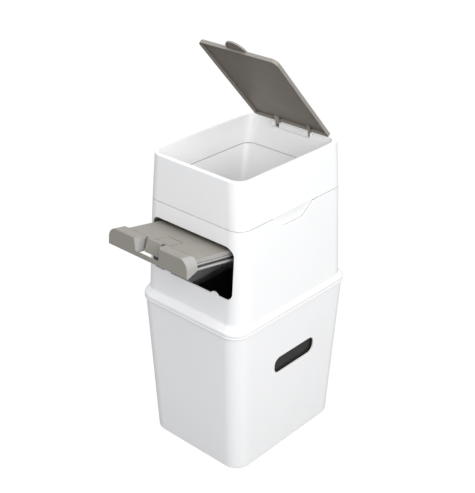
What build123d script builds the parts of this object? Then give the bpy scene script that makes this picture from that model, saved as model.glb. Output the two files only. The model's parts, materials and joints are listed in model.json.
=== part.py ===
from build123d import *
import os
from math import cos, radians, sin

# Litter disposal pail: a tapered bucket with a bin inside, a housing with an inclined sliding
# floor, and a mouth collar with a tilting lid. Millimetres, +Z up, the drawer faces -Y, and the
# origin is the middle of the bucket's foot.

# ---- Driving dimensions ----
# Bucket
RIM_SIZE = (233.4, 303.8, 30.0)     # outline just under the rim bead: X, Y and corner radius
BUCKET_LEAN = (8.6, 15.2)           # how far a side and an end lean in down to the foot
BUCKET_HEIGHT = 283.5               # floor to the underside of the bead
BEAD_REACH = (1.3, 2.9)             # how far the bead stands out at a side and at an end
BEAD_CORNER_RADIUS = 31.0           # of the bead and of the housing's flange
BEAD_HEIGHT = 6.0
BEAD_RADIUS = 2.8
WALL = 2.4                          # moulded wall
FOOT_RECESS = 3.0                   # hollow under the bucket's floor
FOOT_WIDTH = 7.0
FOOT_EDGE_RADIUS = 2.5
FOOT_RIB = 6.0                      # cross rib under the floor
FOOT_PAD_RADIUS = 14.0              # pad where the ribs meet
HAND_HOLE = (109.0, 33.0)           # length by height, in both sides
HAND_HOLE_RADIUS = 14.0
HAND_HOLE_Y = 6.0
HAND_HOLE_Z = 185.5

# Inner bin and the ring that holds its liner
BIN_CLEARANCE = 4.0                 # bucket wall to bin
BIN_DROP = 26.1                     # bin's top under the rim bead
BIN_WALL = 1.8
RING_HEIGHT = 7.0
RING_WALL = 1.6
RING_GRIP = 0.2                     # liner's room between ring and bin

# Housing
FLARE_HEIGHT = 8.5                  # sloping part of the flange
FLANGE_HEIGHT = 6.0                 # upright edge of the flange
HOUSING_SETBACK = (2.1, 8.6)        # wall's foot behind the bucket's rim, at a side and at an end
HOUSING_LEAN = (7.2, 7.4)           # how far the walls lean in up to the seam
SEAM_CORNER_RADIUS = 26.0           # of the housing's top edge and of the collar
HOUSING_HEIGHT = 172.2              # flare to the seam with the collar
SPIGOT_DEPTH = 27.0                 # reach of the housing into the bucket
SPIGOT_WALL = 2.2
SPIGOT_CLEARANCE = 0.4
WINDOW_SIDE = 20.9                  # drawer opening, in from the foot of the housing's side
WINDOW_HEIGHT = 95.9
WINDOW_SILL = 47.0                  # above the housing's flare
WINDOW_TOP_RADIUS = 17.4
WINDOW_SILL_RADIUS = 13.5
SILL_NUB_X = 55.0
SILL_NUB_WIDTH = 16.4
SILL_NUB_HEIGHT = 4.6
SILL_NUB_DEPTH = 2.6
NOTCH_LENGTH = 109.0                # grip notch in each side's top edge
NOTCH_FLAT = 51.0
NOTCH_DEPTH = 22.0
NOTCH_Y = -2.5
NOTCH_RADIUS = 16.0

# Collar
COLLAR_LEAN = (6.2, 2.2)            # how far the walls lean in up to the top edge
COLLAR_HEIGHT = 83.8
LIP_SIDE = 4.8                      # top lip's width at the sides
LIP_FRONT = 7.7
LIP_BACK = 11.5
LIP_EDGE_RADIUS = 1.5
MOUTH_DEPTH = 49.5                  # down to the joint with the hopper
MOUTH_LEAN_SIDE = 4.4               # how far the mouth's walls lean in down to it
MOUTH_LEAN_FRONT = 4.0
MOUTH_LEAN_BACK = 16.0
MOUTH_RADIUS = 20.0
SKIRT_WALL = 2.0
COLLAR_LIP_DEPTH = 8.0
COLLAR_SPIGOT_DEPTH = 23.7
SHADOW_GAP = (1.0, 1.2)             # depth and height of the line between collar and housing
COLLAR_STEP = 3.0                   # height of the shoulder that joins wall and spigot

# Hopper
HOPPER_JOINT = 1.0                  # gap under the mouth's lower edge
HOPPER_WALL = 2.0
HOPPER_FLANGE_SETBACK = 6.9         # behind the seam's front
THROAT_SIDE = 9.2                   # in from the sliding floor's side
THROAT_FRONT = 38.0                 # behind the housing's front
THROAT_BACK_GAP = 33.8162           # before the end of the drawer frame, along the slope
THROAT_RADIUS = 16.0
HOPPER_FLANGE = 2.0
SEAL_HEIGHT = 2.2
SEAL_WIDTH = 4.0
WIPER_GAP = 0.3                     # seal to sliding floor

# Inclined drawer; its frame is measured outwards (reach), across and square to its top
DRAWER_TILT = 10.2
DRAWER_SETBACK = 0.7                # behind the seam's front
DRAWER_DROP = 8.3                   # under the window's top edge
GRIP_SIDE_GAP = 4.9                 # grip to drawer frame
GRIP_SHOULDER = 10.1                # grip's side beyond the sliding floor's
PLATE_THICKNESS = 3.0
DRAWER_TRAVEL = 101.0
THROAT_OVERLAP = 6.0                # closed floor's reach past the throat
PLATE_SKIRT = 7.2
GRIP_REACH = 105.2
GRIP_RISE = 7.1                     # raised grip above the floor
GRIP_DROP = 26.6                    # and below it
GRIP_BACK = 79.2
GRIP_TOP_BACK = 83.0
GRIP_SLOPE_FOOT = 69.5
GRIP_SLOPE_RADIUS = 18.0
GRIP_CORNER_RADIUS = 19.3
GRIP_WALL = 2.5
GRIP_FRONT_LEAN = 4.2               # the front face's foot stands back
GRIP_HEEL = 14.7                    # lower back corner, below the floor's top
GRIP_EDGE_RADIUS = 2.2
SCOOP_HALF_WIDTH = 23.2
SCOOP_DROP = 16.4
SCOOP_MOUTH_RADIUS = 10.0
SCOOP_BOTTOM_RADIUS = 12.0
TONGUE_HALF_WIDTH = 16.4
TONGUE_ROOT = 38.6
TONGUE_REACH = 88.3
TONGUE_DROP = 15.5
TONGUE_LEAN = 3.9
TONGUE_WALL = 2.2
TONGUE_SLIT = 1.0

# Runners and rails
RUNNER_WIDTH = 8.2
RUNNER_WEB = 2.2
RUNNER_HEIGHT = 12.8
RUNNER_FLANGE = 3.6
RUNNER_GROOVE = 5.4
RUNNER_REBATE = 0.8
RUNNER_FOOT = 9.0                   # inner flange that the screws hold
RUNNER_FOOT_THICKNESS = 2.2
RUNNER_END = 79.0
RUNNER_SCREWS = (-85.0, -10.0, 60.0)
BOSS_RADIUS = 3.5
RAIL_CLEARANCE = 0.3
RAIL_START = 25.0                   # behind the closed grip
RAIL_BACK_GAP = 24.8162             # before the end of the drawer frame, along the slope
RAIL_WEB = 2.0
RAIL_FOOT_HEIGHT = 12.0
RAIL_SCREW_FRONT = 45.0             # behind the housing's front
RAIL_SCREW_BACK = 19.0              # before the rail's end

# Drawer frame
FRAME_CLEARANCE = 0.5               # window edge to frame
FRAME_WALL = 2.2
FRAME_FIT = 0.1                     # housing wall to frame
FRAME_DROP = 7.0                    # under the window's sill
FRAME_RISE = 3.1                    # above the window's top edge
FRAME_BACK = 45.9                   # in front of the seam's back
FRAME_BAR = 12.0
FRAME_FOOT = 8.0
FRAME_FOOT_THICKNESS = 2.4
SHELF_HEIGHT = 8.0
SHELF_LENGTH = 22.0
SHELF_FRONT_INSET = 30.9            # front shelf's middle behind the seam's front
SHELF_BACK_INSET = 30.0             # back shelf's middle before the frame's back

# Lid and its hinge
LID_MARGIN = (12.4, 15.9)           # lid to the mouth's edge at a side and at the front
LID_THICKNESS = 6.8
LID_ANGLE = 48.0                    # how far it stands open
LID_RECESS = 5.0
LID_WALL = 2.0
LID_FREE_RADIUS = 11.0
LID_HINGE_RADIUS = 3.0
LID_EDGE_RADIUS = 1.4
TAB_RADIUS = 21.0
TAB_THICKNESS = 2.8
PIVOT_SETBACK = 12.2                # in front of the collar's back
PIVOT_DEPTH = 3.7                   # under the collar's top
PIVOT_TO_LID = 9.0
LUG_PLACES = {"left": (-31.0, 9.0), "right": (40.6, 4.6)}  # middle and width of each lug
LUG_RADIUS = 4.2
LUG_LENGTH = 20.0
LUG_GAP = 0.4                       # lug to bracket
PIN_RADIUS = 1.5
PIN_CLEARANCE = 0.05
BUSH_WALL = 1.1
BRACKET_HALF_WIDTH = 45.0
BRACKET_FRONT = 7.3                 # in front of the pivot
BRACKET_BACK = 6.7                  # behind it
BRACKET_TOP = 3.9                   # above it
BRACKET_DROP = 6.2                  # below it
BRACKET_BASE = 1.5
BRACKET_EDGE_RADIUS = 2.0
BRACKET_SCREW_X = 20.0
BRACKET_SCREW_SETBACK = 2.4         # behind the pivot
SEAT_THICKNESS = 2.4                # collar's shelf under the bracket
POCKET_CLEARANCE = 0.3

# Screws
SCREW_RADIUS = 1.5
SCREW_HEAD_RADIUS = 2.8
SCREW_HEAD_HEIGHT = 1.8
SCREW_BITE = 4.0
SCREW_HOLE_CLEARANCE = 0.1
SCREW_HEAD_CLEARANCE = 0.3


def grown(size, reach, radius):
    """Outline that stands out from another by reach, at the sides and at the ends."""
    return (size[0] + 2 * reach[0], size[1] + 2 * reach[1], radius)


def shrunk(size, reach, radius):
    """Outline that stands back from another by reach, at the sides and at the ends."""
    return (size[0] - 2 * reach[0], size[1] - 2 * reach[1], radius)


# ---- Places that follow from them ----
RIM_TOP = BUCKET_HEIGHT + BEAD_HEIGHT
FLARE_Z = RIM_TOP + FLANGE_HEIGHT
HOUSING_FOOT_Z = FLARE_Z + FLARE_HEIGHT
SEAM_Z = HOUSING_FOOT_Z + HOUSING_HEIGHT
COLLAR_TOP = SEAM_Z + COLLAR_HEIGHT
BUCKET_FLOOR = FOOT_RECESS + WALL
FOOT_SIZE = shrunk(RIM_SIZE, BUCKET_LEAN, RIM_SIZE[2])
BEAD_SIZE = grown(RIM_SIZE, BEAD_REACH, BEAD_CORNER_RADIUS)
HOUSING_FOOT_SIZE = shrunk(RIM_SIZE, HOUSING_SETBACK, RIM_SIZE[2])
SEAM_SIZE = shrunk(HOUSING_FOOT_SIZE, HOUSING_LEAN, SEAM_CORNER_RADIUS)
COLLAR_TOP_SIZE = shrunk(SEAM_SIZE, COLLAR_LEAN, SEAM_CORNER_RADIUS)
SPIGOT_FOOT = SEAM_Z - COLLAR_SPIGOT_DEPTH

MOUTH_SIZE = (COLLAR_TOP_SIZE[0] - 2 * LIP_SIDE, COLLAR_TOP_SIZE[1] - LIP_FRONT - LIP_BACK, MOUTH_RADIUS)
MOUTH_Y = (LIP_FRONT - LIP_BACK) / 2
MOUTH_FOOT_SIZE = (MOUTH_SIZE[0] - 2 * MOUTH_LEAN_SIDE,
                   MOUTH_SIZE[1] - MOUTH_LEAN_FRONT - MOUTH_LEAN_BACK, MOUTH_RADIUS)
MOUTH_FOOT_Y = MOUTH_Y + (MOUTH_LEAN_FRONT - MOUTH_LEAN_BACK) / 2
MOUTH_FOOT_Z = COLLAR_TOP - MOUTH_DEPTH
COLLAR_CAVITY_TOP = COLLAR_TOP - COLLAR_LIP_DEPTH

WINDOW_Z = HOUSING_FOOT_Z + WINDOW_SILL
WINDOW_TOP = WINDOW_Z + WINDOW_HEIGHT
WINDOW_WIDTH = HOUSING_FOOT_SIZE[0] - 2 * WINDOW_SIDE
FRAME_HALF_WIDTH = WINDOW_WIDTH / 2 + FRAME_CLEARANCE
FRAME_FLOOR_Z = WINDOW_Z - FRAME_DROP
FRAME_TOP_Z = WINDOW_TOP + FRAME_RISE
FRAME_BACK_Y = SEAM_SIZE[1] / 2 - FRAME_BACK
SHELF_Y = (SHELF_FRONT_INSET - SEAM_SIZE[1] / 2, FRAME_BACK_Y - SHELF_BACK_INSET)
HOPPER_FLANGE_FRONT = HOPPER_FLANGE_SETBACK - SEAM_SIZE[1] / 2

DRAWER_ORIGIN = (0.0, DRAWER_SETBACK - SEAM_SIZE[1] / 2, WINDOW_TOP - DRAWER_DROP)
FLOOR_RUN = (FRAME_BACK_Y - DRAWER_ORIGIN[1]) / cos(radians(DRAWER_TILT))
THROAT_REACH = (THROAT_BACK_GAP - FLOOR_RUN, -THROAT_FRONT)
PLATE_BACK = THROAT_OVERLAP - THROAT_REACH[0] - DRAWER_TRAVEL
RAIL_END = FLOOR_RUN - RAIL_BACK_GAP
RAIL_SCREWS = (-RAIL_SCREW_FRONT, RAIL_SCREW_BACK - RAIL_END)
GRIP_HALF_WIDTH = FRAME_HALF_WIDTH - GRIP_SIDE_GAP
PLATE_HALF_WIDTH = GRIP_HALF_WIDTH - GRIP_SHOULDER
THROAT_WIDTH = 2 * (PLATE_HALF_WIDTH - THROAT_SIDE)

PIVOT_Y = COLLAR_TOP_SIZE[1] / 2 - PIVOT_SETBACK
PIVOT_Z = COLLAR_TOP - PIVOT_DEPTH
LID_FRONT_Y = MOUTH_Y - MOUTH_SIZE[1] / 2 + LID_MARGIN[1]
LID_SIZE = (MOUTH_SIZE[0] - 2 * LID_MARGIN[0], PIVOT_Y - PIVOT_TO_LID - LID_FRONT_Y)

TILT = radians(DRAWER_TILT)
OUT = (0, -cos(TILT), sin(TILT))
UP = (0, sin(TILT), cos(TILT))
# Sketch axes: FRONT is across by height, SIDE is reach by height, TOP is across by depth.
DRAWER_FRONT = Plane(origin=DRAWER_ORIGIN, x_dir=(1, 0, 0), z_dir=OUT)
DRAWER_SIDE = Plane(origin=DRAWER_ORIGIN, x_dir=OUT, z_dir=(-1, 0, 0))
DRAWER_TOP = Plane(origin=DRAWER_ORIGIN, x_dir=(1, 0, 0), z_dir=UP)

LEAN = radians(LID_ANGLE)
LID_UP = (0, sin(LEAN), cos(LEAN))
PIVOT = (0.0, PIVOT_Y, PIVOT_Z)
LID_PLANE = Plane(origin=PIVOT, x_dir=(1, 0, 0), z_dir=LID_UP)


def between(low, high, z_low, z_high, z):
    """Outline at the level z of a wall that tapers from low to high."""
    share = (z - z_low) / (z_high - z_low)
    return tuple(a + (b - a) * share for a, b in zip(low, high))


def bucket_outline(z):
    return between(FOOT_SIZE, RIM_SIZE, 0, BUCKET_HEIGHT, z)


def housing_outline(z):
    return between(HOUSING_FOOT_SIZE, SEAM_SIZE, HOUSING_FOOT_Z, SEAM_Z, z)


def collar_outline(z):
    return between(SEAM_SIZE, COLLAR_TOP_SIZE, SEAM_Z, COLLAR_TOP, z)


def level(size, z, inset=0.0, y=0.0):
    """Rounded rectangle on the level z, moved in from its edge by inset."""
    with BuildSketch(Plane.XY.offset(z)) as sketch:
        with Locations((0, y)):
            RectangleRounded(size[0] - 2 * inset, size[1] - 2 * inset, size[2] - inset)
    return sketch.sketch


def taper(outline, bottom, top, inset=0.0):
    """Two levels of a tapering wall, ready to loft."""
    return [level(outline(z), z, inset) for z in (bottom, top)]


def mouth(inset=0.0, bottom=MOUTH_FOOT_Z, top=COLLAR_TOP):
    """Two levels of the collar's mouth, which leans in to its lower edge."""
    levels = []
    for z in (bottom, top):
        size = between(MOUTH_FOOT_SIZE, MOUTH_SIZE, MOUTH_FOOT_Z, COLLAR_TOP, z)
        y = between((MOUTH_FOOT_Y,), (MOUTH_Y,), MOUTH_FOOT_Z, COLLAR_TOP, z)[0]
        levels.append(level(size, z, inset, y))
    return levels


def at_level(edges, z):
    """The edges that lie on the level z."""
    return edges.filter_by_position(Axis.Z, z - 0.01, z + 0.01)


def screw(head_plane, bite):
    """Pan-head screw: its head's underside lies on head_plane and it runs along the normal."""
    with BuildPart() as one:
        with BuildSketch(head_plane):
            Circle(SCREW_HEAD_RADIUS)
        extrude(amount=-SCREW_HEAD_HEIGHT)
        chamfer(one.edges().filter_by(GeomType.CIRCLE).sort_by_distance(head_plane.origin)[-1],
                SCREW_HEAD_HEIGHT / 3)
        with BuildSketch(head_plane):
            Circle(SCREW_RADIUS)
        extrude(amount=bite)
    return one.part


def spot(across, reach, height):
    """Point given in the drawer's inclined frame."""
    return Vector(DRAWER_ORIGIN) + Vector(1, 0, 0) * across + Vector(OUT) * reach + Vector(UP) * height


def shank_holes(planes, depth):
    """Clearance holes for screw shanks, from each head plane along its normal."""
    with BuildPart() as holes:
        for plane in planes:
            with BuildSketch(plane.offset(-1)):
                Circle(SCREW_RADIUS + SCREW_HOLE_CLEARANCE)
            extrude(amount=depth + 1)
    return holes.part


def head_rooms(planes):
    """Room for screw heads, from each head plane against its normal."""
    with BuildPart() as rooms:
        for plane in planes:
            with BuildSketch(plane):
                Circle(SCREW_HEAD_RADIUS + SCREW_HEAD_CLEARANCE)
            extrude(amount=-SCREW_HEAD_HEIGHT - SCREW_HEAD_CLEARANCE)
    return rooms.part


def group(solids):
    """Several separate solids as one node."""
    return Compound(children=list(solids))


def save(part, name):
    part.label = name
    export_step(part, f"parts/{name}.step")


os.makedirs("parts", exist_ok=True)

# ---- Bucket ----
with BuildPart() as bucket:
    loft([level(BEAD_SIZE, BUCKET_HEIGHT), level(BEAD_SIZE, RIM_TOP)], ruled=True)
    fillet(at_level(bucket.edges(), BUCKET_HEIGHT), BEAD_RADIUS)
    fillet(at_level(bucket.edges(), RIM_TOP), BEAD_RADIUS)
    loft(taper(bucket_outline, 0, RIM_TOP - BEAD_RADIUS), ruled=True)
    fillet(at_level(bucket.edges(), 0), FOOT_EDGE_RADIUS)
    loft(taper(bucket_outline, BUCKET_FLOOR, RIM_TOP + 1, WALL), ruled=True, mode=Mode.SUBTRACT)
    loft(taper(bucket_outline, -1, FOOT_RECESS, FOOT_WIDTH), ruled=True, mode=Mode.SUBTRACT)
    with BuildSketch():
        Rectangle(FOOT_SIZE[0] - FOOT_WIDTH, FOOT_RIB)
        Rectangle(FOOT_RIB, FOOT_SIZE[1] - FOOT_WIDTH)
        Circle(FOOT_PAD_RADIUS)
    extrude(amount=FOOT_RECESS)
    with BuildSketch(Plane.YZ):
        with Locations((HAND_HOLE_Y, HAND_HOLE_Z)):
            RectangleRounded(*HAND_HOLE, HAND_HOLE_RADIUS)
    extrude(amount=RIM_SIZE[0], both=True, mode=Mode.SUBTRACT)
save(bucket.part, "bucket")

# ---- Inner bin and liner ring ----
BIN_INSET = WALL + BIN_CLEARANCE
BIN_TOP = BUCKET_HEIGHT - BIN_DROP
with BuildPart() as inner_bin:
    loft(taper(bucket_outline, BUCKET_FLOOR, BIN_TOP, BIN_INSET), ruled=True)
    fillet(at_level(inner_bin.edges(), BUCKET_FLOOR), FOOT_EDGE_RADIUS)
    loft(taper(bucket_outline, BUCKET_FLOOR + BIN_WALL, BIN_TOP + 1, BIN_INSET + BIN_WALL),
         ruled=True, mode=Mode.SUBTRACT)
save(inner_bin.part, "inner_bin")

RING_OUTER = BIN_INSET - RING_GRIP - RING_WALL
RING_INNER = BIN_INSET + BIN_WALL + RING_GRIP
RING_FOOT = BIN_TOP - RING_HEIGHT + RING_WALL
with BuildPart() as bag_ring:
    loft(taper(bucket_outline, RING_FOOT, BIN_TOP + RING_WALL, RING_OUTER), ruled=True)
    loft(taper(bucket_outline, RING_FOOT - 1, BIN_TOP + RING_WALL + 1, RING_INNER + RING_WALL),
         ruled=True, mode=Mode.SUBTRACT)
    groove = taper(bucket_outline, RING_FOOT - 1, BIN_TOP, RING_OUTER + RING_WALL)
    core = taper(bucket_outline, RING_FOOT - 1, BIN_TOP, RING_INNER)
    add(loft(groove, ruled=True, mode=Mode.PRIVATE) - loft(core, ruled=True, mode=Mode.PRIVATE),
        mode=Mode.SUBTRACT)
save(bag_ring.part, "bag_ring")

# ---- Housing ----
SPIGOT_Z = RIM_TOP - SPIGOT_DEPTH
with BuildPart() as housing:
    loft([level(BEAD_SIZE, RIM_TOP), level(BEAD_SIZE, FLARE_Z)], ruled=True)
    loft([level(BEAD_SIZE, FLARE_Z), level(HOUSING_FOOT_SIZE, HOUSING_FOOT_Z)], ruled=True)
    loft(taper(housing_outline, HOUSING_FOOT_Z, SEAM_Z), ruled=True)
    fillet(at_level(housing.edges(), HOUSING_FOOT_Z), FLARE_HEIGHT * 0.7)
    fillet(at_level(housing.edges(), FLARE_Z), FLANGE_HEIGHT * 0.8)
    fillet(at_level(housing.edges(), RIM_TOP), 1.2)
    loft(taper(bucket_outline, SPIGOT_Z, RIM_TOP, WALL + SPIGOT_CLEARANCE), ruled=True)
    loft(taper(housing_outline, RIM_TOP, SEAM_Z + 1, WALL), ruled=True, mode=Mode.SUBTRACT)
    loft(taper(bucket_outline, SPIGOT_Z - 1, RIM_TOP, WALL + SPIGOT_CLEARANCE + SPIGOT_WALL),
         ruled=True, mode=Mode.SUBTRACT)
    # drawer window, with a nub each side on its sill
    with BuildSketch(Plane.XZ):
        with Locations((0, WINDOW_Z + WINDOW_HEIGHT / 2)):
            Rectangle(WINDOW_WIDTH, WINDOW_HEIGHT)
        fillet(vertices().group_by(Axis.Y)[-1], WINDOW_TOP_RADIUS)
        fillet(vertices().group_by(Axis.Y)[0], WINDOW_SILL_RADIUS)
    extrude(amount=BEAD_SIZE[1], mode=Mode.SUBTRACT)
    nub_front = housing_outline(WINDOW_Z + SILL_NUB_HEIGHT)[1] / 2
    nub_radius = (SILL_NUB_WIDTH ** 2 / 4 + SILL_NUB_HEIGHT ** 2) / (2 * SILL_NUB_HEIGHT)
    with BuildSketch(Plane.XZ.offset(nub_front - SILL_NUB_DEPTH)):
        with Locations(*[(x, WINDOW_Z + SILL_NUB_HEIGHT - nub_radius) for x in (-SILL_NUB_X, SILL_NUB_X)]):
            Circle(nub_radius)
    extrude(amount=SILL_NUB_DEPTH)
    # grip notch in the top edge of each side
    notch_foot = SEAM_Z - NOTCH_DEPTH
    with BuildSketch(Plane.YZ):
        with BuildLine():
            Polyline((NOTCH_Y - NOTCH_LENGTH, SEAM_Z + 1), (NOTCH_Y - NOTCH_LENGTH, SEAM_Z),
                     (NOTCH_Y - NOTCH_LENGTH / 2, SEAM_Z), (NOTCH_Y - NOTCH_FLAT / 2, notch_foot),
                     (NOTCH_Y + NOTCH_FLAT / 2, notch_foot), (NOTCH_Y + NOTCH_LENGTH / 2, SEAM_Z),
                     (NOTCH_Y + NOTCH_LENGTH, SEAM_Z), (NOTCH_Y + NOTCH_LENGTH, SEAM_Z + 1), close=True)
        make_face()
        fillet(vertices().group_by(Axis.Y)[0], NOTCH_RADIUS)
        shoulders = [v for v in vertices()
                     if abs(abs(v.X - NOTCH_Y) - NOTCH_LENGTH / 2) < 0.01 and abs(v.Y - SEAM_Z) < 0.01]
        fillet(shoulders, NOTCH_RADIUS)
    extrude(amount=SEAM_SIZE[0], both=True, mode=Mode.SUBTRACT)
    # shelves that carry the drawer frame
    shelf_inner = FRAME_HALF_WIDTH + FRAME_WALL + FRAME_CLEARANCE
    shelf_outer = housing_outline(FRAME_FLOOR_Z)[0] / 2 - WALL / 2
    with BuildSketch(Plane.XY.offset(FRAME_FLOOR_Z)):
        with Locations(*[(side * (shelf_inner + shelf_outer) / 2, y) for side in (-1, 1) for y in SHELF_Y]):
            Rectangle(shelf_outer - shelf_inner, SHELF_LENGTH)
    extrude(amount=-SHELF_HEIGHT)
    frame_screw_x = FRAME_HALF_WIDTH + FRAME_WALL + FRAME_FOOT / 2
    frame_screw_planes = [Plane((side * frame_screw_x, y, FRAME_FLOOR_Z - SHELF_HEIGHT))
                          for side in (-1, 1) for y in SHELF_Y]
    add(shank_holes(frame_screw_planes, SHELF_HEIGHT + 1), mode=Mode.SUBTRACT)
save(housing.part, "housing")

# ---- Drawer frame ----
with BuildPart() as drawer_frame:
    with BuildSketch(Plane.XY.offset(FRAME_FLOOR_Z)):
        outer_half = FRAME_HALF_WIDTH + FRAME_WALL
        with Locations((0, FRAME_BACK_Y)):
            Rectangle(2 * outer_half, BEAD_SIZE[1], align=(Align.CENTER, Align.MAX))
        with Locations((0, FRAME_BACK_Y - FRAME_WALL)):
            Rectangle(2 * FRAME_HALF_WIDTH, BEAD_SIZE[1], align=(Align.CENTER, Align.MAX), mode=Mode.SUBTRACT)
    extrude(amount=FRAME_TOP_Z - FRAME_FLOOR_Z)
    with BuildSketch(Plane.XY.offset(FRAME_FLOOR_Z)):
        with Locations((0, FRAME_BACK_Y + FRAME_FOOT)):
            Rectangle(2 * (outer_half + FRAME_FOOT), BEAD_SIZE[1], align=(Align.CENTER, Align.MAX))
        with Locations((0, FRAME_BACK_Y - FRAME_WALL)):
            Rectangle(2 * FRAME_HALF_WIDTH, BEAD_SIZE[1] + FRAME_FOOT, align=(Align.CENTER, Align.MAX),
                      mode=Mode.SUBTRACT)
    extrude(amount=FRAME_FOOT_THICKNESS)
    with BuildSketch(Plane.XY.offset(WINDOW_TOP + FRAME_CLEARANCE)):
        bar_y = -housing_outline(FRAME_TOP_Z)[1] / 2 + WALL + FRAME_BAR
        with Locations((0, bar_y)):
            Rectangle(2 * outer_half, 2 * FRAME_BAR, align=(Align.CENTER, Align.MAX))
    extrude(amount=FRAME_TOP_Z - WINDOW_TOP - FRAME_CLEARANCE)
    loft(taper(housing_outline, RIM_TOP, SEAM_Z, WALL + FRAME_FIT), ruled=True, mode=Mode.INTERSECT)
    add(shank_holes(frame_screw_planes, SHELF_HEIGHT + FRAME_FOOT_THICKNESS + 1), mode=Mode.SUBTRACT)
    rail_screw_planes = [
        Plane(origin=spot(side * outer_half, reach, -PLATE_SKIRT - RUNNER_FLANGE - RUNNER_GROOVE / 2),
              z_dir=(-side, 0, 0)) for side in (-1, 1) for reach in RAIL_SCREWS]
    add(shank_holes(rail_screw_planes, FRAME_WALL + 1), mode=Mode.SUBTRACT)
save(drawer_frame.part, "drawer_frame")

frame_screw_bite = SHELF_HEIGHT + FRAME_FOOT_THICKNESS + SCREW_RADIUS
save(group(screw(plane, frame_screw_bite) for plane in frame_screw_planes), "frame_screws")
rail_screw_bite = FRAME_WALL + RAIL_WEB + SCREW_BITE
save(group(screw(plane, rail_screw_bite) for plane in rail_screw_planes), "rail_screws")

# ---- Guide rails, left and right ----
RAIL_TOP = -PLATE_SKIRT - RUNNER_FLANGE - RAIL_CLEARANCE
RAIL_FOOT = RAIL_TOP - RUNNER_GROOVE + 2 * RAIL_CLEARANCE
RAIL_TIP = PLATE_HALF_WIDTH - RUNNER_WIDTH + RUNNER_WEB + RAIL_CLEARANCE
for side, name in ((-1, "guide_rail_left"), (1, "guide_rail_right")):
    with BuildPart() as rail:
        with BuildSketch(DRAWER_FRONT.offset(-RAIL_START)):
            with BuildLine():
                Polyline((side * RAIL_TIP, RAIL_TOP), (side * FRAME_HALF_WIDTH, RAIL_TOP),
                         (side * FRAME_HALF_WIDTH, RAIL_FOOT - RAIL_FOOT_HEIGHT),
                         (side * (FRAME_HALF_WIDTH - RAIL_WEB), RAIL_FOOT - RAIL_FOOT_HEIGHT),
                         (side * (FRAME_HALF_WIDTH - RAIL_WEB), RAIL_FOOT), (side * RAIL_TIP, RAIL_FOOT),
                         close=True)
            make_face()
        extrude(amount=RAIL_START - RAIL_END)
        tip_edges = rail.edges().filter_by(Axis(DRAWER_ORIGIN, OUT)).filter_by(
            lambda edge: abs(edge.center().X) < RAIL_TIP + 0.01)
        chamfer(tip_edges, 2 * RAIL_CLEARANCE)
        own_planes = [plane for plane in rail_screw_planes if plane.origin.X * side > 0]
        add(shank_holes(own_planes, rail_screw_bite + SCREW_HOLE_CLEARANCE), mode=Mode.SUBTRACT)
    save(rail.part, name)

# ---- Hopper and its seal ----
HOPPER_TOP = MOUTH_FOOT_Z - HOPPER_JOINT
THROAT_DEPTH = THROAT_REACH[1] - THROAT_REACH[0]
THROAT_MIDDLE = -(THROAT_REACH[0] + THROAT_REACH[1]) / 2


def throat(height, outset):
    """Rounded outline of the throat, square to the drawer's top."""
    with BuildSketch(DRAWER_TOP.offset(height)) as sketch:
        with Locations((0, THROAT_MIDDLE)):
            RectangleRounded(THROAT_WIDTH + 2 * outset, THROAT_DEPTH + 2 * outset, THROAT_RADIUS + outset)
    return sketch.sketch


with BuildPart() as hopper:
    seal_top = WIPER_GAP + SEAL_HEIGHT
    top_outer = level(MOUTH_FOOT_SIZE, HOPPER_TOP, -HOPPER_WALL, MOUTH_FOOT_Y)
    loft([throat(seal_top, HOPPER_WALL), top_outer], ruled=True)
    with BuildSketch(Plane.XY.offset(FRAME_TOP_Z)):
        with Locations((0, FRAME_BACK_Y)):
            Rectangle(2 * outer_half, FRAME_BACK_Y - HOPPER_FLANGE_FRONT, align=(Align.CENTER, Align.MAX))
        fillet(vertices(), MOUTH_RADIUS / 2)
    extrude(amount=HOPPER_FLANGE)
    top_inner = level(MOUTH_FOOT_SIZE, HOPPER_TOP, 0, MOUTH_FOOT_Y)
    loft([throat(seal_top, 0), top_inner], ruled=True, mode=Mode.SUBTRACT)
save(hopper.part, "hopper")

with BuildPart() as throat_seal:
    extrude(throat(WIPER_GAP, SEAL_WIDTH), amount=SEAL_HEIGHT)
    extrude(throat(WIPER_GAP, 0), amount=SEAL_HEIGHT, mode=Mode.SUBTRACT)
save(throat_seal.part, "throat_seal")

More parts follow.
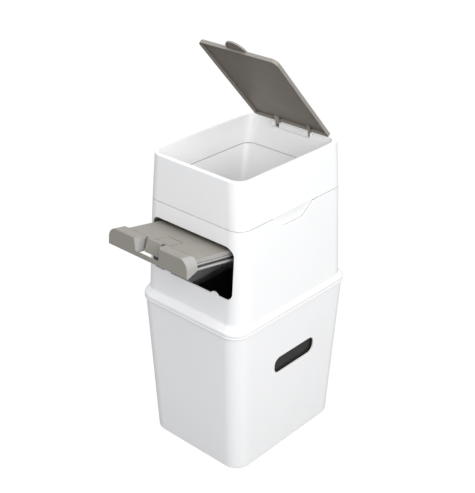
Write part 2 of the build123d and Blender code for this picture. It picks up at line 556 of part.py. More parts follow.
# ---- Collar ----
POCKET_FLOOR = PIVOT_Z - BRACKET_DROP - POCKET_CLEARANCE
with BuildPart() as collar_cavity:
    loft(taper(collar_outline, SEAM_Z - 1, COLLAR_CAVITY_TOP, WALL), ruled=True)
    loft(mouth(-SKIRT_WALL, MOUTH_FOOT_Z, COLLAR_TOP), ruled=True, mode=Mode.SUBTRACT)
    with BuildSketch(Plane.XY.offset(POCKET_FLOOR - SEAT_THICKNESS)):
        with Locations((0, PIVOT_Y - BRACKET_FRONT)):
            Rectangle(2 * (BRACKET_HALF_WIDTH + POCKET_CLEARANCE + SEAT_THICKNESS), SEAM_SIZE[1],
                      align=(Align.CENTER, Align.MIN))
    extrude(amount=COLLAR_TOP, mode=Mode.SUBTRACT)
with BuildPart() as collar:
    loft(taper(collar_outline, SEAM_Z, COLLAR_TOP), ruled=True)
    fillet(at_level(collar.edges(), COLLAR_TOP), LIP_EDGE_RADIUS)
    loft(mouth(0, MOUTH_FOOT_Z, COLLAR_TOP + 1), ruled=True, mode=Mode.SUBTRACT)
    add(collar_cavity.part, mode=Mode.SUBTRACT)
    # shoulder on the housing's edge, and the spigot inside it
    spigot_inset = WALL + SPIGOT_CLEARANCE
    loft([level(collar_outline(z), z, SHADOW_GAP[0]) for z in (SEAM_Z, SEAM_Z + COLLAR_STEP)], ruled=True)
    extrude(level(SEAM_SIZE, SPIGOT_FOOT, spigot_inset), amount=COLLAR_SPIGOT_DEPTH)
    extrude(level(SEAM_SIZE, SPIGOT_FOOT, spigot_inset + SPIGOT_WALL),
            amount=COLLAR_SPIGOT_DEPTH + COLLAR_STEP, mode=Mode.SUBTRACT)
    with BuildSketch(Plane.XY.offset(SEAM_Z)):
        Rectangle(SEAM_SIZE[0] + 1, SEAM_SIZE[1] + 1)
        add(level(SEAM_SIZE, 0, SHADOW_GAP[0]), mode=Mode.SUBTRACT)
    extrude(amount=SHADOW_GAP[1], mode=Mode.SUBTRACT)
    # pocket in the back lip for the hinge bracket
    pocket_half = BRACKET_HALF_WIDTH + POCKET_CLEARANCE
    with BuildSketch(Plane.XY.offset(POCKET_FLOOR)):
        with Locations((0, PIVOT_Y + BRACKET_BACK + POCKET_CLEARANCE)):
            Rectangle(2 * pocket_half, BRACKET_FRONT + BRACKET_BACK + SEAT_THICKNESS,
                      align=(Align.CENTER, Align.MAX))
    extrude(amount=COLLAR_TOP, mode=Mode.SUBTRACT)
    screw_head_z = POCKET_FLOOR - SEAT_THICKNESS
    bracket_screw_planes = [Plane((side * BRACKET_SCREW_X, PIVOT_Y + BRACKET_SCREW_SETBACK, screw_head_z))
                            for side in (-1, 1)]
    add(shank_holes(bracket_screw_planes, SEAT_THICKNESS + 1), mode=Mode.SUBTRACT)
    add(head_rooms(bracket_screw_planes), mode=Mode.SUBTRACT)
save(collar.part, "collar")

# ---- Hinge: bracket, pin and friction bushes ----
BUSH_RADIUS = PIN_RADIUS + PIN_CLEARANCE + BUSH_WALL
bracket_floor = PIVOT_Z - BRACKET_DROP
with BuildPart() as hinge_bracket:
    with BuildSketch(Plane.XY.offset(bracket_floor)):
        with Locations((0, PIVOT_Y + BRACKET_BACK)):
            Rectangle(2 * BRACKET_HALF_WIDTH, BRACKET_FRONT + BRACKET_BACK, align=(Align.CENTER, Align.MAX))
    extrude(amount=BRACKET_DROP + BRACKET_TOP)
    front_edges = hinge_bracket.edges().filter_by(Axis.X).group_by(Axis.Y)[0]
    fillet(front_edges, BRACKET_EDGE_RADIUS)
    # slots that the lid's lugs swing in
    for lug_x, lug_width in LUG_PLACES.values():
        slot_width = lug_width + 2 * LUG_GAP
        with BuildSketch(Plane.XY.offset(bracket_floor + BRACKET_BASE)):
            with Locations((lug_x, PIVOT_Y + BRACKET_BACK - BRACKET_BASE)):
                Rectangle(slot_width, BRACKET_FRONT + BRACKET_BACK, align=(Align.CENTER, Align.MAX))
        extrude(amount=BRACKET_DROP + BRACKET_TOP, mode=Mode.SUBTRACT)
        with BuildSketch(Plane.XY.offset(PIVOT_Z - BRACKET_DROP / 2)):
            with Locations((lug_x, PIVOT_Y + BRACKET_BACK)):
                Rectangle(slot_width, BRACKET_BACK, align=(Align.CENTER, Align.MAX))
        extrude(amount=BRACKET_DROP + BRACKET_TOP, mode=Mode.SUBTRACT)
    with BuildSketch(Plane.YZ):
        with Locations((PIVOT_Y, PIVOT_Z)):
            Circle(PIN_RADIUS + PIN_CLEARANCE)
    extrude(amount=BRACKET_HALF_WIDTH, both=True, mode=Mode.SUBTRACT)
    bracket_screw_bite = SEAT_THICKNESS + BRACKET_BASE + SCREW_BITE / 2
    add(shank_holes(bracket_screw_planes, bracket_screw_bite + 1), mode=Mode.SUBTRACT)
save(hinge_bracket.part, "hinge_bracket")
save(group(screw(plane, bracket_screw_bite) for plane in bracket_screw_planes), "bracket_screws")

with BuildPart() as hinge_pin:
    with BuildSketch(Plane.YZ):
        with Locations((PIVOT_Y, PIVOT_Z)):
            Circle(PIN_RADIUS)
    extrude(amount=BRACKET_HALF_WIDTH, both=True)
    chamfer(hinge_pin.edges().filter_by(GeomType.CIRCLE), PIN_RADIUS / 4)
save(hinge_pin.part, "hinge_pin")

for side, (lug_x, lug_width) in LUG_PLACES.items():
    with BuildPart() as bush:
        with BuildSketch(Plane.YZ.offset(lug_x)):
            with Locations((PIVOT_Y, PIVOT_Z)):
                Circle(BUSH_RADIUS)
                Circle(PIN_RADIUS + PIN_CLEARANCE, mode=Mode.SUBTRACT)
        extrude(amount=lug_width / 2, both=True)
    save(bush.part, f"hinge_bush_{side}")

# ---- Lid ----
LID_SIDE = Plane(origin=PIVOT, x_dir=(0, -cos(LEAN), sin(LEAN)), z_dir=(-1, 0, 0))


def lid_plan(inset):
    """The lid's outline from its hinge edge to its free edge, moved in by inset."""
    with BuildSketch() as sketch:
        with Locations((0, -PIVOT_TO_LID - LID_SIZE[1] / 2)):
            Rectangle(LID_SIZE[0] - 2 * inset, LID_SIZE[1] - 2 * inset)
        fillet(vertices().group_by(Axis.Y)[0], LID_FREE_RADIUS - inset)
        fillet(vertices().group_by(Axis.Y)[-1], LID_HINGE_RADIUS - inset)
    return sketch.sketch


with BuildPart() as lid:
    with BuildSketch(LID_PLANE):
        add(lid_plan(0))
    extrude(amount=LID_THICKNESS)
    fillet(lid.faces().sort_by(Axis((0, 0, 0), LID_UP))[-1].edges(), LID_EDGE_RADIUS)
    with BuildSketch(LID_PLANE):
        add(lid_plan(LID_WALL))
    extrude(amount=LID_RECESS, mode=Mode.SUBTRACT)
    # half-moon tab past the free edge
    with BuildSketch(LID_PLANE.offset(LID_THICKNESS - TAB_THICKNESS)):
        with Locations((0, LID_WALL / 2 - PIVOT_TO_LID - LID_SIZE[1])):
            Circle(TAB_RADIUS)
            Rectangle(2 * TAB_RADIUS, TAB_RADIUS, align=(Align.CENTER, Align.MAX), mode=Mode.INTERSECT)
    extrude(amount=TAB_THICKNESS)
    for lug_x, lug_width in LUG_PLACES.values():
        with BuildSketch(LID_SIDE.offset(-lug_x)):
            Circle(LUG_RADIUS)
            with Locations((PIVOT_TO_LID, LUG_RADIUS / 2)):
                Rectangle(LUG_LENGTH - PIVOT_TO_LID, LID_RECESS - LUG_RADIUS / 2,
                          align=(Align.MIN, Align.MIN))
            make_hull()
            Circle(BUSH_RADIUS, mode=Mode.SUBTRACT)
        extrude(amount=lug_width / 2, both=True)
save(lid.part, "lid")

# ---- Sliding floor with its grip ----
def nearest(points, *place):
    """The vertex of a sketch that is nearest to a place."""
    return points.sort_by_distance(place)[0]


def grip_face(inset):
    """The grip seen from the front, with large upper corners."""
    half, foot = GRIP_HALF_WIDTH - inset, -GRIP_DROP * 2
    with BuildSketch(DRAWER_FRONT) as sketch:
        with BuildLine():
            Polyline((-half, foot), (-half, GRIP_RISE - inset), (half, GRIP_RISE - inset), (half, foot),
                     close=True)
        make_face()
        fillet(vertices().group_by(Axis.Y)[-1], GRIP_CORNER_RADIUS - inset)
    return sketch.sketch


def grip_side():
    """The grip seen from the side: slope, raised top, leaning front and rising heel."""
    with BuildSketch(DRAWER_SIDE) as sketch:
        with BuildLine():
            Polyline((GRIP_SLOPE_FOOT - GRIP_SLOPE_RADIUS, 0), (GRIP_SLOPE_FOOT, 0),
                     (GRIP_TOP_BACK, GRIP_RISE), (GRIP_REACH, GRIP_RISE),
                     (GRIP_REACH - GRIP_FRONT_LEAN, -GRIP_DROP), (GRIP_BACK, -GRIP_HEEL),
                     (GRIP_BACK, -PLATE_THICKNESS), (GRIP_SLOPE_FOOT - GRIP_SLOPE_RADIUS, -PLATE_THICKNESS),
                     close=True)
        make_face()
        for corner in ((GRIP_SLOPE_FOOT, 0), (GRIP_TOP_BACK, GRIP_RISE)):
            fillet(nearest(vertices(), *corner), GRIP_SLOPE_RADIUS)
        for corner in ((GRIP_REACH, GRIP_RISE), (GRIP_REACH - GRIP_FRONT_LEAN, -GRIP_DROP)):
            fillet(nearest(vertices(), *corner), GRIP_EDGE_RADIUS)
    return sketch.sketch


def grip_cavity_side():
    """The hollow of the grip, open below and behind."""
    front = GRIP_REACH - GRIP_WALL
    with BuildSketch(DRAWER_SIDE) as sketch:
        with BuildLine():
            Polyline((GRIP_SLOPE_FOOT, -PLATE_THICKNESS),
                     (GRIP_TOP_BACK + GRIP_WALL / 2, GRIP_RISE - GRIP_WALL),
                     (front, GRIP_RISE - GRIP_WALL), (front - GRIP_FRONT_LEAN, -GRIP_DROP),
                     (front - GRIP_FRONT_LEAN, -2 * GRIP_DROP), (GRIP_SLOPE_FOOT, -2 * GRIP_DROP), close=True)
        make_face()
    return sketch.sketch


def scoop_plan(outset):
    """The finger scoop seen from above, with its flared mouth."""
    half = SCOOP_HALF_WIDTH + outset
    flare = SCOOP_MOUTH_RADIUS - outset
    back, front = -GRIP_TOP_BACK + outset, -GRIP_REACH
    with BuildSketch(DRAWER_TOP) as sketch:
        with BuildLine():
            Line((-half, back), (half, back))
            Line((half, back), (half, front + flare))
            CenterArc((half + flare, front + flare), flare, 180, 90)
            Line((half + flare, front), (half + flare, front - 1))
            Line((half + flare, front - 1), (-half - flare, front - 1))
            Line((-half - flare, front - 1), (-half - flare, front))
            CenterArc((-half - flare, front + flare), flare, 270, 90)
            Line((-half, front + flare), (-half, back))
        make_face()
    return sketch.sketch


with BuildPart() as grip_envelope:
    extrude(grip_side(), amount=GRIP_HALF_WIDTH + 1, both=True)
with BuildPart() as grip_cavity:
    extrude(grip_cavity_side(), amount=GRIP_HALF_WIDTH, both=True)
    extrude(grip_face(GRIP_WALL), amount=GRIP_REACH, mode=Mode.INTERSECT)
with BuildPart() as scoop_pocket:
    extrude(scoop_plan(0), amount=GRIP_RISE + 1)
    extrude(scoop_plan(0), amount=-GRIP_DROP * 2)
    with BuildSketch(DRAWER_FRONT.offset(GRIP_BACK)):
        scoop_half = SCOOP_HALF_WIDTH + SCOOP_MOUTH_RADIUS
        with Locations((0, -SCOOP_DROP)):
            Rectangle(2 * scoop_half, SCOOP_DROP + GRIP_RISE + 1, align=(Align.CENTER, Align.MIN))
        fillet(vertices().group_by(Axis.Y)[0], SCOOP_BOTTOM_RADIUS)
    extrude(amount=GRIP_REACH, mode=Mode.INTERSECT)
with BuildPart() as scoop_walls:
    extrude(scoop_plan(GRIP_WALL), amount=GRIP_RISE + 1)
    extrude(scoop_plan(GRIP_WALL), amount=-SCOOP_DROP - GRIP_WALL)
    add(grip_envelope.part, mode=Mode.INTERSECT)

with BuildPart() as scoop_drain:
    extrude(grip_cavity_side(), amount=GRIP_HALF_WIDTH, both=True)
    extrude(scoop_plan(0), amount=-GRIP_DROP * 2, mode=Mode.INTERSECT)

RUNNER_INNER = PLATE_HALF_WIDTH - RUNNER_WIDTH
runner_screw_planes = [
    Plane(origin=spot(side * (RUNNER_INNER - RUNNER_FOOT / 2), reach, -PLATE_SKIRT - RUNNER_FOOT_THICKNESS),
          z_dir=UP) for side in (-1, 1) for reach in RUNNER_SCREWS]
runner_screw_bite = RUNNER_FOOT_THICKNESS + PLATE_SKIRT - PLATE_THICKNESS
tongue_cut = TONGUE_HALF_WIDTH + TONGUE_SLIT / 2
with BuildPart() as drawer_panel:
    extrude(grip_face(0), amount=GRIP_REACH + 1)
    with BuildSketch(DRAWER_FRONT):
        Rectangle(2 * GRIP_REACH, 4 * GRIP_DROP)
        Rectangle(2 * PLATE_HALF_WIDTH, 4 * GRIP_DROP, mode=Mode.SUBTRACT)
    extrude(amount=GRIP_BACK, mode=Mode.SUBTRACT)
    add(grip_envelope.part, mode=Mode.INTERSECT)
    add(grip_cavity.part, mode=Mode.SUBTRACT)
    add(scoop_walls.part)
    with BuildSketch(DRAWER_TOP):
        with Locations((0, PLATE_BACK)):
            Rectangle(2 * PLATE_HALF_WIDTH, PLATE_BACK + GRIP_SLOPE_FOOT, align=(Align.CENTER, Align.MAX))
    extrude(amount=-PLATE_THICKNESS)
    # skirts along both edges
    with BuildSketch(DRAWER_FRONT.offset(-PLATE_BACK)):
        for side in (-1, 1):
            with Locations((side * (PLATE_HALF_WIDTH - GRIP_WALL / 2), -PLATE_SKIRT)):
                Rectangle(GRIP_WALL, PLATE_SKIRT, align=(Align.CENTER, Align.MIN))
    extrude(amount=PLATE_BACK + RUNNER_END)
    # bosses that take the runners' screws
    for plane in runner_screw_planes:
        with BuildSketch(plane.offset(RUNNER_FOOT_THICKNESS)):
            Circle(BOSS_RADIUS)
        extrude(amount=PLATE_SKIRT - PLATE_THICKNESS / 2)
    add(shank_holes(runner_screw_planes, runner_screw_bite), mode=Mode.SUBTRACT)
    add(scoop_pocket.part, mode=Mode.SUBTRACT)
    add(scoop_drain.part, mode=Mode.SUBTRACT)
    with BuildSketch(DRAWER_TOP):
        with Locations((0, -TONGUE_ROOT)):
            Rectangle(2 * tongue_cut, TONGUE_REACH - TONGUE_ROOT, align=(Align.CENTER, Align.MAX))
    extrude(amount=2 * GRIP_RISE, both=True, mode=Mode.SUBTRACT)
save(drawer_panel.part, "drawer_panel")

# ---- Latch tongue ----
with BuildPart() as latch_tongue:
    with BuildSketch(DRAWER_SIDE):
        with BuildLine():
            root = TONGUE_ROOT + RAIL_CLEARANCE + TONGUE_WALL / 2
            inner = TONGUE_REACH - TONGUE_WALL
            bend = TONGUE_WALL / 4
            RadiusArc((root, -TONGUE_WALL), (root, 0), TONGUE_WALL / 2)
            Polyline((root, 0), (GRIP_SLOPE_FOOT, 0), (GRIP_TOP_BACK, GRIP_RISE),
                     (TONGUE_REACH, GRIP_RISE),
                     (TONGUE_REACH + TONGUE_LEAN, -TONGUE_DROP), (inner + TONGUE_LEAN, -TONGUE_DROP),
                     (inner, GRIP_RISE - TONGUE_WALL), (GRIP_TOP_BACK + bend, GRIP_RISE - TONGUE_WALL),
                     (GRIP_SLOPE_FOOT + bend, -TONGUE_WALL), (root, -TONGUE_WALL))
        make_face()
        for corner in ((GRIP_SLOPE_FOOT, 0), (GRIP_SLOPE_FOOT + bend, -TONGUE_WALL)):
            fillet(nearest(vertices(), *corner), GRIP_SLOPE_RADIUS)
        fillet(nearest(vertices(), TONGUE_REACH, GRIP_RISE), TONGUE_WALL / 2)
    extrude(amount=TONGUE_HALF_WIDTH - TONGUE_SLIT / 2, both=True)
save(latch_tongue.part, "latch_tongue")

# ---- Runners, left and right ----
groove_top = -PLATE_SKIRT - RUNNER_FLANGE
groove_foot = groove_top - RUNNER_GROOVE
runner_foot = -PLATE_SKIRT - RUNNER_HEIGHT
for side, name in ((-1, "runner_left"), (1, "runner_right")):
    with BuildPart() as runner:
        with BuildSketch(DRAWER_FRONT.offset(-PLATE_BACK)):
            with BuildLine():
                outline = [(RUNNER_INNER - RUNNER_FOOT, -PLATE_SKIRT),
                           (PLATE_HALF_WIDTH - 1.5 * RUNNER_REBATE, -PLATE_SKIRT),
                           (PLATE_HALF_WIDTH - 1.5 * RUNNER_REBATE, -PLATE_SKIRT - RUNNER_REBATE),
                           (PLATE_HALF_WIDTH, -PLATE_SKIRT - RUNNER_REBATE),
                           (PLATE_HALF_WIDTH, groove_top), (RUNNER_INNER + RUNNER_WEB, groove_top),
                           (RUNNER_INNER + RUNNER_WEB, groove_foot), (PLATE_HALF_WIDTH, groove_foot),
                           (PLATE_HALF_WIDTH, runner_foot), (RUNNER_INNER, runner_foot),
                           (RUNNER_INNER, -PLATE_SKIRT - RUNNER_FOOT_THICKNESS),
                           (RUNNER_INNER - RUNNER_FOOT, -PLATE_SKIRT - RUNNER_FOOT_THICKNESS)]
                Polyline(*[(side * x, n) for x, n in outline], close=True)
            make_face()
        extrude(amount=PLATE_BACK + RUNNER_END)
        own_planes = [plane for plane in runner_screw_planes if plane.origin.X * side > 0]
        add(shank_holes(own_planes, RUNNER_FOOT_THICKNESS + 1), mode=Mode.SUBTRACT)
    save(runner.part, name)
save(group(screw(plane, runner_screw_bite) for plane in runner_screw_planes), "runner_screws")
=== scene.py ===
"""Looks of the litter disposal pail: finishes, moulded details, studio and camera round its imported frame."""

import json
import logging
import math
from dataclasses import dataclass, field
from enum import Enum

import bpy
from mathutils import Matrix, Vector

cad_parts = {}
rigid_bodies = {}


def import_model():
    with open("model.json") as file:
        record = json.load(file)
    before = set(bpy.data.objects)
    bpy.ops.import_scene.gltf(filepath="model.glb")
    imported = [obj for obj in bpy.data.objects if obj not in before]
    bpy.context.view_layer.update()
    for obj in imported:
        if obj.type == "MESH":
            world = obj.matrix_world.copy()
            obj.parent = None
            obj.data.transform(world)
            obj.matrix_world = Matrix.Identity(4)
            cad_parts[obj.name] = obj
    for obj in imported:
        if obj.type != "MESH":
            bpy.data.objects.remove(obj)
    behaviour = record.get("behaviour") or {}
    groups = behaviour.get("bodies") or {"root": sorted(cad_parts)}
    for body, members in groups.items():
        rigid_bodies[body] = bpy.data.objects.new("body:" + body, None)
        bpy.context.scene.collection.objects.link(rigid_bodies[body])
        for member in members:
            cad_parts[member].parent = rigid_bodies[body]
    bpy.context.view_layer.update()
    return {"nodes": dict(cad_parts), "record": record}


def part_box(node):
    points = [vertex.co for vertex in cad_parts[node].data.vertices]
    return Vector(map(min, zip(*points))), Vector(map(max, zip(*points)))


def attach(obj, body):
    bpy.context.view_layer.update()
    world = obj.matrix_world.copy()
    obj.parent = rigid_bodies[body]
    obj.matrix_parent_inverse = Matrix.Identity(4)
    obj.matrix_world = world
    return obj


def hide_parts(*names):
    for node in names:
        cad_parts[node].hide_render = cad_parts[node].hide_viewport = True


LOG = logging.getLogger("litter_pail")
MM = 0.001

Colour = tuple[float, float, float, float]


# ---------------------------------------------------------------- node helpers


def linear(code: str) -> Colour:
    """Turns an sRGB hex colour into the linear colour that shaders use.

    Args:
        code: Six hex digits, as in "F4F4F2".

    Returns:
        Linear red, green, blue and an alpha of 1.
    """
    shares = [int(code[i:i + 2], 16) / 255 for i in (0, 2, 4)]
    values = [s / 12.92 if s <= 0.04045 else ((s + 0.055) / 1.055) ** 2.4 for s in shares]
    return (values[0], values[1], values[2], 1.0)


def add_node(tree: bpy.types.NodeTree, kind: str, links: dict | None = None, **settings) -> bpy.types.Node:
    """Adds a node, sets it up and links what goes into it.

    Args:
        tree: The node tree that gets the node.
        kind: The node's Blender type.
        links: Input socket, by name or number, to the output socket or the plain value that it takes.
        **settings: The node's own properties, such as operation or data_type.

    Returns:
        The new node.
    """
    node = tree.nodes.new(kind)
    for name, value in settings.items():
        setattr(node, name, value)
    for socket, source in (links or {}).items():
        if isinstance(source, bpy.types.NodeSocket):
            tree.links.new(source, node.inputs[socket])
        else:
            node.inputs[socket].default_value = source
    return node


def mix_result(mix: bpy.types.Node) -> bpy.types.NodeSocket:
    """Returns a colour Mix node's result, whose name other hidden sockets share."""
    return next(s for s in mix.outputs if s.type == "RGBA")


# -------------------------------------------------------------------- finishes


class Slot(Enum):
    """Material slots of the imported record."""

    WHITE = "white_pp"
    TAUPE = "taupe_abs"
    CHARCOAL = "charcoal_abs"
    SEAL = "seal_rubber"
    ZINC = "zinc_steel"
    PIN = "pin_steel"


@dataclass(frozen=True)
class MouldedPlastic:
    """Injection-moulded plastic: nearly even colour, a spark-eroded grain, a soft sheen and painted shade in
    its gaps and grooves.

    Attributes:
        name: The plastic's plain name.
        colour: Its colour.
        shade: Where the melt flowed slower it is this colour.
        roughness: Mean roughness of the skin.
        gloss_change: How far the roughness wanders about that mean.
        grain_mm: Width of one grain of the mould's texture.
        grain_depth_mm: Height of the grain.
        flow_mm: Width of the cloudy flow marks.
        ior: Refractive index.
        painted_shade: Colour of the shade painted deep in gaps and grooves.
        painted_shade_mm: Width of the gaps that get it.
        grain_strength: Share of the grain's height that the light shows.
        closed: Openness below which a gap is all painted shade.
        clear: Openness above which none of it shows.
    """

    name: str
    colour: str
    shade: str
    roughness: float
    gloss_change: float
    grain_mm: float
    grain_depth_mm: float
    flow_mm: float
    ior: float
    painted_shade: str
    painted_shade_mm: float
    grain_strength: float = 0.6
    closed: float = 0.2
    clear: float = 0.6

    def build(self) -> bpy.types.Material:
        """Returns the plastic as a node material."""
        material = bpy.data.materials.new(self.name)
        material.use_nodes = True
        tree = material.node_tree
        tree.nodes.clear()
        place = add_node(tree, "ShaderNodeTexCoord").outputs["Object"]
        flow = add_node(tree, "ShaderNodeTexNoise",
                        {"Vector": place, "Scale": 1 / (self.flow_mm * MM), "Detail": 3.0})
        tint = add_node(tree, "ShaderNodeMix",
                        {"Factor": flow.outputs["Fac"], "A": linear(self.colour), "B": linear(self.shade)},
                        data_type="RGBA")
        grain = add_node(tree, "ShaderNodeTexNoise",
                         {"Vector": place, "Scale": 1 / (self.grain_mm * MM), "Detail": 2.0})
        gloss = add_node(tree, "ShaderNodeMapRange",
                         {"Value": flow.outputs["Fac"],
                          "To Min": self.roughness - self.gloss_change,
                          "To Max": self.roughness + self.gloss_change})
        relief = add_node(tree, "ShaderNodeBump",
                          {"Height": grain.outputs["Fac"], "Distance": self.grain_depth_mm * MM,
                           "Strength": self.grain_strength})
        # Painted shade: ambient occlusion blends gaps and grooves towards the painted_shade colour.
        openness = add_node(tree, "ShaderNodeAmbientOcclusion", {"Distance": self.painted_shade_mm * MM},
                            samples=8)
        unshaded_share = add_node(tree, "ShaderNodeMapRange",
                         {"Value": openness.outputs["AO"], "From Min": self.closed, "From Max": self.clear})
        shade_painted = add_node(tree, "ShaderNodeMix",
                        {"Factor": unshaded_share.outputs["Result"], "A": linear(self.painted_shade),
                         "B": mix_result(tint)}, data_type="RGBA")
        skin = add_node(tree, "ShaderNodeBsdfPrincipled",
                        {"Base Color": mix_result(shade_painted), "Roughness": gloss.outputs["Result"],
                         "IOR": self.ior, "Normal": relief.outputs["Normal"]})
        add_node(tree, "ShaderNodeOutputMaterial", {"Surface": skin.outputs["BSDF"]})
        return material


@dataclass(frozen=True)
class PlatedSteel:
    """Zinc-plated or drawn steel: a metal with fine lay marks along one way.

    Attributes:
        name: The metal's plain name.
        colour: Colour of its reflection.
        shade: Colour in the valleys of the lay.
        roughness: Mean roughness.
        lay_mm: Spacing of the marks, coarser than real ones so that they show.
        lay_stretch: Scale of the pattern along X, which draws the marks out.
        polished: How far the roughness drops on the lay's ridges.
        dulled: How far it rises in the valleys.
    """

    name: str
    colour: str
    shade: str
    roughness: float
    lay_mm: float
    lay_stretch: float = 0.04
    polished: float = 0.08
    dulled: float = 0.1

    def build(self) -> bpy.types.Material:
        """Returns the steel as a node material."""
        material = bpy.data.materials.new(self.name)
        material.use_nodes = True
        tree = material.node_tree
        tree.nodes.clear()
        place = add_node(tree, "ShaderNodeTexCoord").outputs["Object"]
        drawn = add_node(tree, "ShaderNodeMapping",
                         {"Vector": place, "Scale": (self.lay_stretch, 1.0, 1.0)})
        lay = add_node(tree, "ShaderNodeTexNoise",
                       {"Vector": drawn.outputs["Vector"], "Scale": 1 / (self.lay_mm * MM), "Detail": 3.0})
        tint = add_node(tree, "ShaderNodeMix",
                        {"Factor": lay.outputs["Fac"], "A": linear(self.colour), "B": linear(self.shade)},
                        data_type="RGBA")
        gloss = add_node(tree, "ShaderNodeMapRange",
                         {"Value": lay.outputs["Fac"], "To Min": self.roughness - self.polished,
                          "To Max": self.roughness + self.dulled})
        skin = add_node(tree, "ShaderNodeBsdfPrincipled",
                        {"Base Color": mix_result(tint), "Metallic": 1.0,
                         "Roughness": gloss.outputs["Result"]})
        add_node(tree, "ShaderNodeOutputMaterial", {"Surface": skin.outputs["BSDF"]})
        return material


# The last colour and width given to each plastic below are its painted shade, darkening its gaps and grooves.
# Polypropylene, moulded in a polished tool: bright, faintly waxy and satin.
WHITE_POLYPROPYLENE = MouldedPlastic("white_polypropylene", "F3F3F2", "F0F0EF", 0.30, 0.05, 0.5, 0.006,
                                     60, 1.49, "7E7E7C", 2.5)
# ABS, moulded in a sand-blasted tool: dull, with a fine even tooth that breaks up reflections.
TAUPE_ABS = MouldedPlastic("taupe_abs", "938E86", "908B83", 0.42, 0.05, 0.7, 0.03, 45, 1.53, "2E2B27", 7.0)
# The lid's recess, which faces down: the taupe painted darker and browner for the shade that it lies in, with
# a deeper, coarser texture.
PAINTED_SHADE_RECESS_ABS = MouldedPlastic("taupe_abs_painted_shade_recess", "746C61", "6E665B", 0.5, 0.06, 1.0, 0.05, 45, 1.53,
                            "2A2622", 7.0)
# Sides of the drawer's moulding: the taupe painted paler for the light that falls on them, smoother than its
# other faces, with a soft shine.
PAINTED_LIGHT_SIDE_ABS = MouldedPlastic("taupe_abs_painted_light_side", "AAA8A4", "A6A4A0", 0.38, 0.05, 0.6, 0.02, 45, 1.53,
                          "2A2824", 4.0)
# Runners of the drawer: the taupe painted paler for the light that falls on them, smoother, with painted shade
# in their grooves.
PAINTED_LIGHT_RUNNER_ABS = MouldedPlastic("runner_abs_painted_light", "B6B5B3", "B1B0AE", 0.35, 0.05, 0.6, 0.02, 45, 1.53,
                            "24221F", 10.0)
# The same plastic in charcoal, for the drawer's frame and rails.
CHARCOAL_ABS = MouldedPlastic("charcoal_abs", "6E6C69", "6A6865", 0.55, 0.06, 0.8, 0.03, 45, 1.53,
                              "5A5855", 3.0)
# Recycled polypropylene of the inner bin: darker, a little streaky and waxy.
BIN_POLYPROPYLENE = MouldedPlastic("bin_polypropylene", "2A2927", "252422", 0.5, 0.08, 0.8, 0.02, 30, 1.49,
                                   "161514", 3.0)
# Nitrile rubber: nearly black, bloomed, with hardly any gloss.
NITRILE_RUBBER = MouldedPlastic("nitrile_rubber", "2B2B2B", "242424", 0.82, 0.06, 0.5, 0.04, 20, 1.52,
                                "121212", 2.0)
# Zinc plate on steel screws: pale bluish metal with a slightly dull crystal skin.
ZINC_PLATE = PlatedSteel("zinc_plated_steel", "C9CDD2", "B4B8BC", 0.34, 0.6)
# Drawn steel rod of the hinge: smooth, with lay marks along its length.
DRAWN_STEEL = PlatedSteel("drawn_steel", "CFCFCD", "B9B9B7", 0.26, 0.3)

FINISHES = {
    Slot.WHITE: WHITE_POLYPROPYLENE,
    Slot.TAUPE: TAUPE_ABS,
    Slot.CHARCOAL: CHARCOAL_ABS,
    Slot.SEAL: NITRILE_RUBBER,
    Slot.ZINC: ZINC_PLATE,
    Slot.PIN: DRAWN_STEEL,
}

Finish = MouldedPlastic | PlatedSteel

# Nodes that share a slot with others and still have a finish of their own; the runners' finish is painted
# light, paler than the rest of the drawer.
OWN_FINISHES = {"inner_bin": BIN_POLYPROPYLENE, "runner_left": PAINTED_LIGHT_RUNNER_ABS, "runner_right": PAINTED_LIGHT_RUNNER_ABS}


@dataclass
class Workshop:
    """Holds the frame and the finishes, and dresses what the assemblies hand over.

    Attributes:
        nodes: The frame's CAD nodes by name.
        slots: Each node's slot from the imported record.
        built: The material of each finish used so far.
    """

    nodes: dict[str, bpy.types.Object]
    slots: dict[str, Slot]
    built: dict[Finish, bpy.types.Material] = field(default_factory=dict)

    def material(self, finish: Finish) -> bpy.types.Material:
        """Returns the material of a finish, built on first use."""
        if finish not in self.built:
            self.built[finish] = finish.build()
        return self.built[finish]

    def finish(self, slot: Slot) -> bpy.types.Material:
        """Returns the material of a slot."""
        return self.material(FINISHES[slot])

    def dress(self, name: str) -> None:
        """Gives a CAD node the finish of its slot.

        Args:
            name: The node's name.
        """
        mesh = self.nodes[name].data
        material = self.material(OWN_FINISHES.get(name, FINISHES[self.slots[name]]))
        mesh.materials.clear()
        mesh.materials.append(material)
        LOG.info("dressed %s in %s", name, material.name)

    def dress_side(self, name: str, ways: tuple[Vector, ...], finish: Finish, spread: float) -> None:
        """Gives the faces of a node that look some way a finish of their own: its callers give paler copies
        for painted light and darker ones for painted shade.

        Args:
            name: The node's name.
            ways: The ways that they look.
            finish: Their finish.
            spread: How far a face's normal may be turned from such a way, in radians.
        """
        mesh = self.nodes[name].data
        mesh.materials.append(self.material(finish))
        least = math.cos(spread)
        chosen = [face for face in mesh.polygons if any(face.normal.dot(way) > least for way in ways)]
        for face in chosen:
            face.material_index = len(mesh.materials) - 1
        LOG.info("dressed %d faces of %s in %s", len(chosen), name, finish.name)

    def deliver(self, piece: bpy.types.Object, body: str, slot: Slot) -> None:
        """Makes a new piece ride on its body.

        Args:
            piece: The finished mesh object, at the origin.
            body: The CAD body that carries it.
            slot: The slot whose finish it has; not used.
        """
        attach(piece, body)
        LOG.info("built %s on %s: %d faces", piece.name, body, len(piece.data.polygons))


# ------------------------------------------------------------- geometry nodes


